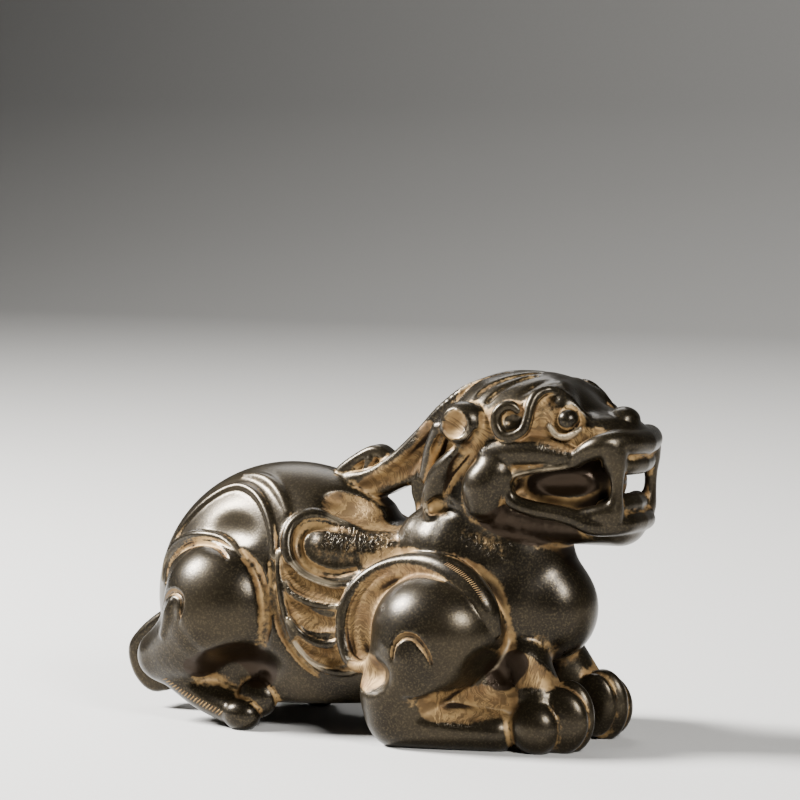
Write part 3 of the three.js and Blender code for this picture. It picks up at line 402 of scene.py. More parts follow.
def back_bowl(figure):
    # bowl under the end of the mane
    figure.cut(blob((-2.6, 9.2, 42.6), (7.4, 4.8, 3.4), pitch=-8), fillet=2)
    figure.dry([(-7.4, 7, 41, 2.4), (-2.6, 6.6, 40.4, 2.8), (3.6, 6, 39.6, 2)])


def rump_carving(figure):
    # concave panel inside a thin rim, with a softer rim behind it
    figure.cut(blob((-28, 22.1, 42.9), (13.5, 11.5, 7.5), pitch=-14, roll=-40), fillet=2)
    rim = [
        (-42.6, 31.3), (-40.9, 34.6), (-38.6, 37.4), (-36, 40), (-33.2, 42.1), (-30.1, 43.7),
        (-27, 44.2), (-23.6, 43.4), (-20.8, 41.6), (-18.6, 39), (-17.1, 35.8), (-16.4, 32.4),
    ]
    behind = [(-28, 45.9), (-24.4, 45.9), (-20.8, 45), (-17.6, 42.9), (-15.4, 40.4)]
    figure.ridge(rim, FINE_RIM, rise=0.7, fillet=0.6, tip=0.7)
    figure.ridge(behind, RIM, rise=0.6, fillet=1, tip=0.5)


def thigh_carving(figure):
    # the ball stands clear of the flank, over a deep recess
    figure.groove([
        (-23.6, 33.2), (-20.2, 30.8), (-18, 26.8), (-17.2, 22), (-18, 17.4), (-20.4, 13.6),
    ], GROOVE, depth=0.9, fillet=1.6, tip=0.4)
    figure.cut(blob((-22.6, 20.6, 10.6), (9.4, 8.4, 5), pitch=8), fillet=5)
    # a painted dark-brown shade in the recess under the ball
    figure.paint_shade([(-31, 17, 11.5, 3), (-25.1, 16.6, 13.8, 3.6), (-20.6, 14, 11.6, 3.6)])
    figure.groove([
        (-42.9, 25.6), (-42.3, 28.8), (-40, 31.3), (-36.6, 33.1), (-32.5, 33.9), (-28.3, 33.6),
        (-25, 32),
    ], FINE_GROOVE, depth=0.7, fillet=0.5, tip=0.5)
    figure.ridge([
        (-44.2, 25.9), (-43.6, 29.6), (-41.2, 32.5), (-37.8, 34.4), (-33.7, 35.3), (-29, 35.1),
        (-25.7, 33.9), (-23.2, 32.2),
    ], FINE_RIM, rise=0.7, fillet=0.5, tip=0.5)
    comma = [(-39.2, 21.8), (-37.8, 24.2), (-35.2, 25.5), (-32.9, 24.9), (-32.3, 22.8), (-33.1, 20.2)]
    figure.groove(comma, FINE_GROOVE, depth=0.6, fillet=0.5, tip=0.3)
    # a painted dark shade along the comma's crease
    figure.paint_shade(figure.laid(comma, FINE_GROOVE, tip=0.3, height=0), share=0.7)
    figure.ridge([(-35.2, 23.4), (-36, 20.8), (-37.6, 17.4)], 1.6, rise=0.6, fillet=1, tip=0.6)


def tail(figure):
    # flat ribbon that leaves the rump low down and lies in behind the hind legs
    figure.add(band([
        (-45, 18.2, 2.5), (-49.2, 16.2, 1.9), (-52.4, 13.9, 1.6), (-54.3, 11.2, 1.6),
        (-53, 7.8, 2.2), (-50.6, 5.6, 2.4), (-48.2, 5.6, 2.2),
    ], 3.4, 1.3), fillet=1)
    figure.add(band([(-44, 16.4, 4), (-47.8, 13, 4), (-49.6, 8.6, 3.4)], 2, 1.2), fillet=1.5)
    figure.dry([(-50.6, 2.2, 13.4, 0.8), (-49.6, 2.2, 9.6, 1)])


def skull(figure):
    figure.add(blob((26.5, 0, 56.7), (13.5, 12.2, 10.7)), fillet=4)
    # forehead, and the cheek wall under the eye
    figure.add(blob((32.5, 0, 60.3), (8.6, 10.4, 6.6), pitch=-8), fillet=3)
    figure.add(blob((37.5, 0, 56.7), (8, 9, 6.5), pitch=-10), fillet=3)
    figure.add(limb([(35.8, 3.5, 63.3, 2.6), (38.2, 6.2, 61.8, 2.4)]), fillet=2)
    # closed core of the mouth, and the upper muzzle
    figure.add(blob((35, 0, 48.8), (11, 6.2, 7.5)), fillet=2)
    figure.add(blob((36.3, 0, 48), (10.6, 8.8, 7.2)), fillet=1)
    figure.add(blob((26.6, 8, 50.1), (4.2, 3, 5)), fillet=2)
    figure.add(blob((43.5, 0, 56.8), (8, 7.6, 4.2), pitch=-8), fillet=2)
    figure.add(blob((43, 4.6, 57.2), (4.2, 3.6, 3)), fillet=2)


def jaw(figure):
    figure.add(limb([(27, 0, 42.6, 6.8), (37, 0, 41, 4.6), (46.5, 0, 40.6, 4)], squash=1.7), fillet=1.5)
    # a painted dark-brown shade under the jaw
    figure.paint_shade([(25.5, 11.5, 41.5, 2), (29, 10.5, 41, 3), (34, 8.5, 39.8, 3.4), (38.5, 6.2, 38.6, 3)])
    figure.dry([(20.5, 11.6, 38.8, 0.8), (24.5, 11.4, 37, 1), (29, 10.4, 35.6, 0.8)], share=0.35)
    # jowl, and the roll of the cheek
    figure.add(limb([
        (26.6, 10.5, 49.6, 4.3), (25, 11, 47.2, 4.4), (24.6, 10.6, 44.7, 3.8),
    ]), fillet=0.8)
    figure.add(limb([
        (26, 10.4, 53, 2.9), (30, 10.4, 53.7, 2.9), (35, 9.9, 53.9, 2.6), (39, 9.2, 53.4, 2.1),
        (41.6, 8.6, 52.9, 1.4),
    ]), fillet=1.2)


def lips(figure):
    figure.add(limb([
        (41.5, 9.2, 52.4, 1.3), (43.6, 9.2, 54, 1.8), (46.4, 8.8, 55.3, 2.1),
        (48.4, 7.2, 55.8, 2.2), (50.1, 4.4, 55.6, 2.2), (51, 0, 55.4, 2.2),
    ]), fillet=1.2)
    # loop round the corner of the mouth and on to the front of the lower jaw
    figure.add(limb([
        (42.4, 9, 52.6, 0.9), (40.4, 9.8, 51.5, 1), (37.4, 10.3, 50.9, 1), (33.6, 10.6, 50.4, 1),
        (30.8, 11, 49.2, 1.2), (29.4, 11.2, 47, 1.3), (30.4, 11, 44.8, 1.4), (34, 10.4, 43.6, 1.5),
        (37.8, 9.9, 43.1, 1.5), (41, 9.2, 42.4, 1.6), (44.5, 8.4, 41.1, 1.8), (47.2, 6.8, 41, 1.9),
        (49.2, 4.2, 41.2, 1.9), (49.8, 0, 41.3, 1.9),
    ]), fillet=0.6)


def teeth(figure):
    figure.add(limb([
        (48, 7.2, 54.6, 2.8), (48.6, 7.3, 52, 2), (48.9, 7.3, 49.8, 1.3),
        (48.9, 7.3, 47.4, CANINE_SIZE), (48.6, 7.2, 45.2, 1.4), (47.6, 6.9, 42.8, 2.4),
    ]), fillet=0.6)
    figure.add(limb([(43.4, 8.4, 42.6, 1.6), (46.2, 8, 43.2, 1.7), (48.2, 7.4, 44, 1.4)]), fillet=0.8)
    # the open cheek
    figure.cut(limb([
        (31.9, 11.4, 48, 1.6), (34.8, 11.2, 47.8, 2.4), (38.8, 10.6, 47.8, 3), (42.6, 10, 48, 3.3),
        (45.2, 9.4, 48, 2.6),
    ]), fillet=0.8)


def gums(figure):
    # row of small teeth behind the upper lip, and the gum behind the lower one
    figure.add(limb([(47.6, 5.8, 52.2, 2.2), (49.2, 3.6, 51.9, 2.1), (49.8, 0, 51.8, 2.1)]), fillet=0.8)
    figure.add(limb([(46, 5.6, 43.6, 2), (47.8, 3.6, 44.3, 2), (48.6, 0, 44.4, 2)]), fillet=0.8)
    # a painted dark-brown shade inside the open mouth
    figure.paint_shade([(33.5, 8.6, 47.8, 1.8), (38, 8, 48.6, 2.4), (43, 7, 49, 2.4)], share=0.9)


def nose(figure):
    figure.add(blob((46.9, 0, 59.2), (3, 3.1, 2.5)), fillet=0.6)
    figure.add(blob((45.5, 3.4, 58.2), (2.9, 2.4, 2), yaw=-15), fillet=0.5)


def eye(figure):
    figure.cut(blob((39.6, 10.6, 59.6), (3.3, 2, 3.1)), fillet=0.8)
    figure.add(blob((39.9, 8.4, 59.6), (EYE_SIZE, 2, EYE_SIZE)), fillet=0.3)
    # pouch under it
    figure.add(limb([
        (36.8, 9.8, 58.6, 0.5), (38.4, 9.9, 56.9, 0.6), (40.6, 9.6, 56.8, 0.6),
        (42.4, 8.8, 58.2, 0.5),
    ]), fillet=0.5)


def brow(figure):
    # from the middle of the forehead a ridge runs down each side of the nose
    figure.add(limb([
        (35.4, 7.6, 64.6, 0.7), (37.2, 7, 64.5, 0.8), (39.3, 6.8, 62.9, 0.8),
        (41.5, 6.4, 60.7, 0.8), (43.3, 6, 58.9, 0.8), (45, 5.2, 58, 0.6),
    ]), fillet=0.6)
    # and a scroll curls back over the cheek
    figure.add(limb([
        (36.6, 6.6, 64.9, 0.7), (35.2, 7.8, 64.7, 0.9), (34, 9.2, 63.8, 1.1), (33.4, 10.4, 62, 1),
        (33.2, 11, 60, 1), (32.5, 11.6, 57.8, 1.1), (30.6, 12, 56.6, 1.1), (28.8, 12.1, 56.7, 1.1),
        (27.6, 12.2, 58.3, 1.1), (27.5, 12.2, 60.3, 1), (28.7, 11.8, 61.8, 1),
        (30.2, 11.4, 62, 0.9), (31.3, 11, 61.1, 0.8),
    ]), fillet=0.5)
    figure.cut(blob((30.5, 13, 59.4), (2, 2.2, 1.8)), fillet=0.5)
    figure.dry([(35.6, 10.8, 57.4, 1.6), (36, 10.2, 60, 1.6), (36.6, 9.2, 62, 1)], share=0.6)
    figure.dry([
        (35.6, 11, 55.8, 0.9), (39.5, 10.4, 55.2, 1), (42.6, 9.2, 56.4, 0.9), (45, 7.6, 57.4, 0.8),
    ], share=0.7)
    figure.dry([
        (25.8, 12, 60.8, 0.5), (26.2, 12.4, 58, 0.5), (25, 13.2, 55.8, 0.6), (22, 13, 53.4, 0.6),
    ], share=0.6)
    # groove between brow and forehead
    figure.cut(limb([
        (36.2, 0, 67.4, 1.1), (35.4, 3.2, 67.2, 0.7), (33.8, 5.8, 66.5, 0.7),
        (32.2, 8.2, 65.2, 0.8), (30.8, 9.8, 64.4, 0.9), (28.6, 11.2, 63.8, 0.9),
        (26.2, 12.2, 62.2, 0.8), (25.4, 12.6, 59.8, 0.7),
    ]), fillet=0.8)


def ear(figure):
    figure.add(blob((20.6, 11.4, 58.4), (EAR_SIZE, 3.4, EAR_SIZE - 0.3)), fillet=0.8)
    figure.cut(blob((20, 15.2, 58.4), (EAR_SIZE - 1.3, 2.3, EAR_SIZE - 1.4)), fillet=0.4)
    figure.dry([(19.4, 13.2, 57.6, 1.3), (20.4, 13.4, 59.2, 1.3)])


def locks(figure):
    # two locks hang behind the jowl, with a leaf-shaped recess between them
    figure.add(limb([
        (20.5, 11.4, 53.7, 1.6), (17.5, 11.2, 51, 1.9), (15.4, 10.4, 48.8, 2.2),
        (14, 9.6, 45.4, 2.4), (13.6, 9, 41.6, 2.2),
    ]), fillet=1)
    figure.add(limb([(15.4, 10, 57.1, 1.8), (13, 8.4, 52.9, 1.8), (11.4, 7.2, 48.1, 1.8)]), fillet=1.5)
    figure.cut(limb([
        (15.8, 11.4, 55.4, 0.8), (14.4, 10.8, 52.7, 1.3), (13.8, 10.8, 50.3, 0.6),
    ]), fillet=0.6)
    figure.cut(limb([(14, 11, 42.8, 1.2), (16.2, 11.8, 43.2, 1.9), (18.6, 12.2, 42.6, 1.3)]), fillet=1)
    figure.cut(limb([
        (24.4, 13.2, 56.8, 0.9), (21.2, 13, 53.1, 0.9), (19.2, 12.4, 50.1, 1), (18.6, 12, 46.7, 1),
        (19.2, 12.2, 43.5, 0.9), (21, 12.6, 40.7, 0.6),
    ]), fillet=1)


def crown(figure):
    # strands combed back over the crown
    strands = [
        [(16, 5.2, 61.6), (17.6, 4.4, 64.2), (21.2, 3.2, 66.2), (25.4, 1.4, 67.6)],
        [(21.2, 10.4, 62.6), (22.4, 8.2, 64), (24.8, 6.6, 65.7), (27.8, 4.4, 66.9), (31, 1.6, 67.5)],
        [(24.9, 10.2, 62.7), (26.5, 8.6, 64.6), (28.7, 6.7, 66), (31.2, 3.6, 67.1)],
    ]
    for path in strands:
        figure.cut(wire(path, FINE_GROOVE), fillet=0.6)


def mane(figure):
    # flat mane from the crown down the back of the neck, bridging to the back
    figure.add(band([
        (27, 61.2, 4.5, 5.2), (20.5, 61.6, 4.2, 4.8), (13.2, 59.6, 2.1, 4.2),
        (7.4, 54.9, MANE_SIZE, 3.7), (2, 50.2, MANE_SIZE, 3.4), (-3.2, 47, MANE_SIZE, 3.2),
        (-9, 45.4, MANE_SIZE, 2.8),
    ], 3.4, 1.2), fillet=0.8)
    figure.add(band([
        (15, 56.7, 4), (11.5, 51.3, 3.4), (8.4, 46.3, 3.2), (8.6, 42, 3),
    ], 2.8, 1), fillet=2)
    # plate under it that leaves only a small gap over the back
    figure.add(band([
        (-7, 44.8, 2), (-2.4, 45.8, 2.8), (3, 48.4, 3.2), (8, 50.6, 4.8), (14, 52, 6.5),
    ], 2.5, 1.2), fillet=0.8)
    figure.dry([(-3, 3, 45.6, 1.2), (3, 3, 48.4, 1.6), (8, 3, 52, 1.8), (12, 3.4, 56, 1.6)])
    figure.dry([(9.5, 5, 55.5, 2.2), (12, 7, 54.5, 1.8), (11.5, 6, 50.5, 1.6)])
    # curl at its end: a thin rim round a sunk plate
    figure.add(band([
        (-10.8, 45.8, 1.2), (-9.6, 47.6, 1.2), (-5.4, 50.4, 1.2), (-2.6, 51.3, 1.3),
        (-0.6, 50.4, 1.2),
    ], 2.2, 1.1), fillet=0.5)
    figure.add(band([(-8, 47.2, 2), (-4, 48.2, 2), (-1.5, 48.6, 2)], 1.2, 0.8), fillet=0.5)
    figure.add(limb([(-3.6, 1.5, 49.8, 1.1), (-4.4, 1.4, 48.2, 0.8)]), fillet=0.5)
    # web that carries it, and the gap through to the other side
    figure.add(band([(-7.5, 45.2, 2.5), (-5.5, 41.1, 3.2), (-4.5, 36.1, 5)], 1.8, 1), fillet=3)
    figure.cut(limb([(3.3, 0, 41.4, 2.8), (2.9, 3, 41.4, 3), (1.2, 9, 41.8, 4.2)]), fillet=1)
    figure.add(blob((-9.6, 1.5, 43.2), (2.3, 3.6, 3)), fillet=0.8)


def whole_figure():
    """All forms, in the order they are worked."""
    figure = Figure()
    for form in (masses, rump_carving, thigh_carving, wing_carving, feather_carving, shoulder_carving,
                 leg_carving, tail, back_bowl, paws, skull, jaw, lips, teeth, gums, nose, eye, brow, ear,
                 locks, mane, crown):
        form(figure)
    return figure


# The skin: a net over the zero surface of the forms, cut flat where the figure stands
SKIN_STEP, TRIAL_STEP = 0.42, 0.8
SKIN_TRIANGLES = 190000
# the coarse grid's cells, and how near the surface, in such cells, distances are worked out again
COARSE_CELLS, NEAR_CELLS = 6, 1.5
POINTS_AT_ONCE = 400000
# over what length a slope is measured, and how the net's points are moved on to the surface
SLOPE_REACH = 0.05
SETTLE_ROUNDS, SETTLE_SHARE = 2, 0.9
LEAST_STEEPNESS, LONGEST_MOVE = 0.25, 0.6


def standing(figure):
    """The figure's distance function, with all below its soles cut away."""
    def distance(points):
        return np.maximum(figure(points), -np.asarray(points, f32)[:, 2])
    return distance


def sampled(field, low, high, step):
    """Distances on a grid over one side, close together near the surface, and mirrored."""
    xs = np.arange(low[0], high[0] + step, step)
    zs = np.arange(low[2], high[2] + step, step)
    ys = np.arange(0, high[1] + step, step)
    c = COARSE_CELLS
    axes = [np.arange(0, len(v) + c, c) * step + v[0] for v in (xs, ys, zs)]
    coarse = field(np.stack(np.meshgrid(*axes, indexing="ij"), -1).reshape(-1, 3))
    rough = coarse.reshape([len(v) for v in axes])
    for axis, v in enumerate((xs, ys, zs)):
        take = np.minimum((np.arange(len(v)) + c // 2) // c, rough.shape[axis] - 1)
        rough = np.take(rough, take, axis)
    near = np.abs(rough) < c * step * NEAR_CELLS
    places = np.argwhere(near)
    points = np.stack([xs[places[:, 0]], ys[places[:, 1]], zs[places[:, 2]]], 1)
    lots = range(0, len(points), POINTS_AT_ONCE)
    rough[near] = np.concatenate([field(points[k:k + POINTS_AT_ONCE]) for k in lots])
    return np.concatenate([rough[:, :0:-1, :], rough], 1), np.array([xs[0], -ys[-1], zs[0]])


def net_over(values, start, step):
    """One vertex for each cell that the surface passes through, and a face for each crossed edge."""
    inside = values < 0
    count = np.zeros(np.array(inside.shape) - 1, np.uint8)
    corners = [(a, b, c) for a in (0, 1) for b in (0, 1) for c in (0, 1)]
    for a, b, c in corners:
        count += inside[a:a + count.shape[0], b:b + count.shape[1], c:c + count.shape[2]]
    cells = np.argwhere((count > 0) & (count < len(corners)))
    index = np.full(count.shape, -1, np.int32)
    index[tuple(cells.T)] = np.arange(len(cells))

    # each vertex lies at the middle of the crossings on its cell's edges
    total, hits = np.zeros((len(cells), 3)), np.zeros(len(cells))
    for axis in range(3):
        u, v = [k for k in range(3) if k != axis]
        for a, b in ((0, 0), (0, 1), (1, 0), (1, 1)):
            p = cells.copy()
            p[:, u] += a
            p[:, v] += b
            q = p.copy()
            q[:, axis] += 1
            d0, d1 = values[tuple(p.T)], values[tuple(q.T)]
            crossed = (d0 < 0) != (d1 < 0)
            at = p[crossed].astype(float)
            at[:, axis] += d0[crossed] / (d0[crossed] - d1[crossed])
            total[crossed] += at
            hits[crossed] += 1

    # each crossed edge gives a face through the four cells round it
    faces = []
    for axis in range(3):
        u, v = [(1, 2), (2, 0), (0, 1)][axis]
        one, two = [slice(None)] * 3, [slice(None)] * 3
        one[axis], two[axis] = slice(0, -1), slice(1, None)
        first = inside[tuple(one)]
        edges = np.argwhere(first != inside[tuple(two)])
        flip = ~first[tuple(edges.T)]
        ring = [edges.copy() for _ in range(4)]
        ring[1][:, u] -= 1
        ring[2][:, u] -= 1
        ring[2][:, v] -= 1
        ring[3][:, v] -= 1
        quads = np.stack([index[tuple(k.T)] for k in ring], 1)
        quads[flip] = quads[flip][:, ::-1]
        faces.append(quads)
    return start + step * total / hits[:, None], np.vstack(faces)


def slopes(field, points):
    """Distance and its gradient at each point."""
    d = field(points)
    rises = [field(points + np.eye(3)[k] * SLOPE_REACH) - d for k in range(3)]
    return d, np.stack(rises, 1) / SLOPE_REACH


def settled(field, points, step):
    """The points moved on to the surface."""
    for _ in range(SETTLE_ROUNDS):
        d, g = slopes(field, points)
        steep = np.maximum(np.sqrt((g * g).sum(1)), LEAST_STEEPNESS)
        move = np.clip(d / steep, -LONGEST_MOVE * step, LONGEST_MOVE * step)
        points = points - g * (SETTLE_SHARE * move / steep)[:, None]
    return points


def plain_mesh(name, points, faces):
    mesh = bpy.data.meshes.new(name)
    mesh.from_pydata(points.tolist(), [], faces.tolist())
    mesh.validate()
    mesh.shade_smooth()
    return mesh


def placed(name, data):
    """A new object in the scene."""
    thing = bpy.data.objects.new(name, data)
    bpy.context.scene.collection.objects.link(thing)
    return thing


def made_plain(piece, modifier):
    """Gives the piece the modifier's result as its own mesh."""
    shown = piece.evaluated_get(bpy.context.evaluated_depsgraph_get())
    mesh = bpy.data.meshes.new_from_object(shown)
    piece.modifiers.remove(modifier)
    piece.data = mesh
    return mesh


def skin(figure):
    """The figure's outer surface as one closed piece."""
    step = SKIN_STEP
    field = standing(figure)
    values, start = sampled(field, MODEL_LOW, MODEL_HIGH, step)
    points, faces = net_over(values, start, step)
    points = settled(field, points, step)
    points[:, 2] = np.maximum(points[:, 2], 0)
    moved = (points - [MODEL_MIDDLE_X, 0, 0]) * MM
    piece = placed("figure_skin", plain_mesh("figure_skin", moved, faces))
    triangles = 2 * len(faces)
    if triangles > SKIN_TRIANGLES:
        thin = piece.modifiers.new("thin", "DECIMATE")
        thin.ratio = SKIN_TRIANGLES / triangles
        thinned = made_plain(piece, thin)
        thinned.name = "figure_skin"
        thinned.shade_smooth()
    return piece


# What the finish follows, written on the skin: how sunk and how sharp it is, and the noted paths
# how wide a shallow, a middling and a deep hollow are, and how thin a sharp edge is
SHALLOW, MIDDLE, DEEP, SHARP = 1.1, 2.4, 6.0, 0.9
# what the first two count in how sunk the skin is, and the third in how much painted dark-brown shade it
# gets
SHALLOW_SHARE, MIDDLE_SHARE, SHADE_SHARE = 0.2, 0.9, 0.9
# how far beyond its radius a noted path is felt
PATH_REACH = 1.3


def shut_in(field, points, normals, reach):
    """From 0 in the open to 1 at the bottom of a hollow that is about as wide as the reach."""
    return np.clip(1 - field(points + normals * reach) / reach, 0, 1)


def noted(paths, points):
    """Length along the nearest noted path in millimetres, and how near the path is, 0 to its share."""
    x, y, z = points[:, 0], np.abs(points[:, 1]), points[:, 2]
    along, near = np.zeros(len(points)), np.zeros(len(points))
    for path, share in paths:
        reach = path[:, 3].max() + PATH_REACH
        i = within(x, y, z, path[:, :3].min(0) - reach, path[:, :3].max(0) + reach)
        done = 0.0
        for p, n in zip(path[:-1], path[1:]):
            e = n[:3] - p[:3]
            span = max(float(e @ e), LEAST_SPAN)
            d = np.stack([x[i], y[i], z[i]], 1) - p[:3]
            t = np.clip(d @ e / span, 0, 1)
            off = np.linalg.norm(d - t[:, None] * e, axis=1) - (p[3] + t * (n[3] - p[3]))
            weight = share * np.clip(1 - off / PATH_REACH, 0, 1)
            better = weight > near[i]
            along[i[better]] = done + t[better] * math.sqrt(span)
            near[i[better]] = weight[better]
            done += math.sqrt(span)
    return along, near


def written(mesh, name, values):
    """Stores one number for each vertex."""
    layer = mesh.attributes.new(name, "FLOAT", "POINT")
    layer.data.foreach_set("value", np.asarray(values, f32))


def finish_marks(figure, piece):
    """Writes on the skin what its material reads."""
    mesh = piece.data
    flat = np.empty(3 * len(mesh.vertices))
    mesh.vertices.foreach_get("co", flat)
    points = flat.reshape(-1, 3) / MM + [MODEL_MIDDLE_X, 0, 0]
    gradient = slopes(figure, points)[1]
    normals = gradient / np.maximum(np.linalg.norm(gradient, axis=1), LEAST_LENGTH)[:, None]
    shallow = SHALLOW_SHARE * shut_in(figure, points, normals, SHALLOW)
    middle = MIDDLE_SHARE * shut_in(figure, points, normals, MIDDLE)
    deep = SHADE_SHARE * shut_in(figure, points, normals, DEEP)
    along, chased = noted(figure.scored, points)
    shade_marked = noted(figure.shade_marked, points)[1]
    written(mesh, "sunk", np.clip(shallow + middle, 0, 1))
    # the deep hollows and the noted shade paths get a painted dark-brown shade, read by the material as
    # deep
    written(mesh, "deep", np.maximum(deep, shade_marked))
    written(mesh, "sharp", np.clip(1 + figure(points - normals * SHARP) / SHARP, 0, 1))
    written(mesh, "along", along)
    written(mesh, "chased", chased)


# Colours, and the one function that adds a node
def linear(code):
    """Linear colour from an sRGB hex code."""
    parts = [int(code[i:i + 2], 16) / 255 for i in (0, 2, 4)]
    return [c / 12.92 if c <= 0.04045 else ((c + 0.055) / 1.055) ** 2.4 for c in parts] + [1.0]


def add(tree, kind, settings=None, give=0, **values):
    """Adds a node and gives one of its outputs. A value is a constant, or an output to link from."""
    node = tree.nodes.new(kind)
    for key, value in (settings or {}).items():
        setattr(node, key, value)
    for key, value in values.items():
        name = key.replace("_", " ")
        socket = node.inputs[int(name[1:])] if name[1:].isdigit() else node.inputs[name]
        if isinstance(value, bpy.types.NodeSocket):
            tree.links.new(value, socket)
        else:
            socket.default_value = value
    return node.outputs[give] if node.outputs else node


# Kinds of node in frequent use, and their settings
MATH, PLUS, TIMES = "ShaderNodeMath", {"operation": "ADD"}, {"operation": "MULTIPLY"}
RAMP, SMOOTH = "ShaderNodeMapRange", {"interpolation_type": "SMOOTHSTEP"}
MIX, BLEND = "ShaderNodeMix", {"data_type": "RGBA"}

# Patterns of the brass in millimetres: cloudy patina, blotches in it and marks of rubbing
CLOUD_SIZE, BLOTCH_SIZE, RUBBED_SIZE = 14.286, 4.0, 0.8333
# real casting grain is about 0.1 mm and strokes are 0.2 mm apart, too fine to show: drawn coarser
GRAIN_SIZE, STROKE_SPACING, STROKE_LENGTH = 0.3846, 0.35, 2.5
# how much blotches, rubbing and the tool's path add to where the dry gold shows, and cloud to a worn edge
# and its painted highlight
BLOTCH_SHARE, RUBBED_SHARE, CHASED_SHARE, CLOUD_SHARE = 0.5, 0.5, 0.6, 0.2
# how dark the strokes are in the gold
STROKE_TONE = 0.75
# satin patina, rougher in the clouds and roughest where it is dry
SATIN, CLOUD_ROUGHNESS, DRY_ROUGHNESS = 0.23, 0.12, 0.34
# the relief's height in millimetres, how strong it is, and what the grain, rubbing and strokes give of it
RELIEF_HEIGHT, RELIEF_STRENGTH = 0.1, 0.55
GRAIN_RELIEF, RUBBED_RELIEF, STROKE_RELIEF = 0.3, 0.3, -0.6
# brass under a thin patina, which dulls part of the metal's reflection
BRASS_METALLIC = 0.75


def tool_strokes(tree, place, marks):
    """Strokes of the chasing tool across each noted path: 1 in a stroke, 0 between and off the path."""
    spot = add(tree, "ShaderNodeSeparateXYZ", Vector=place, give=slice(0, 3))
    pace = add(tree, MATH, TIMES, i0=marks["along"], i1=1 / STROKE_SPACING)
    width = add(tree, MATH, TIMES, i0=spot[1], i1=1 / (STROKE_LENGTH * MM))
    height = add(tree, MATH, TIMES, i0=spot[2], i1=1 / (STROKE_LENGTH * MM))
    line = add(tree, "ShaderNodeCombineXYZ", X=pace, Y=width, Z=height)
    stroke = add(tree, "ShaderNodeTexNoise", Vector=line, Scale=1.0, Detail=2.0, Roughness=0.6)
    ridges = add(tree, RAMP, SMOOTH, Value=stroke, From_Min=0.44, From_Max=0.58)
    struck = add(tree, RAMP, SMOOTH, Value=marks["chased"], From_Max=0.4)
    return add(tree, MATH, TIMES, i0=ridges, i1=struck)


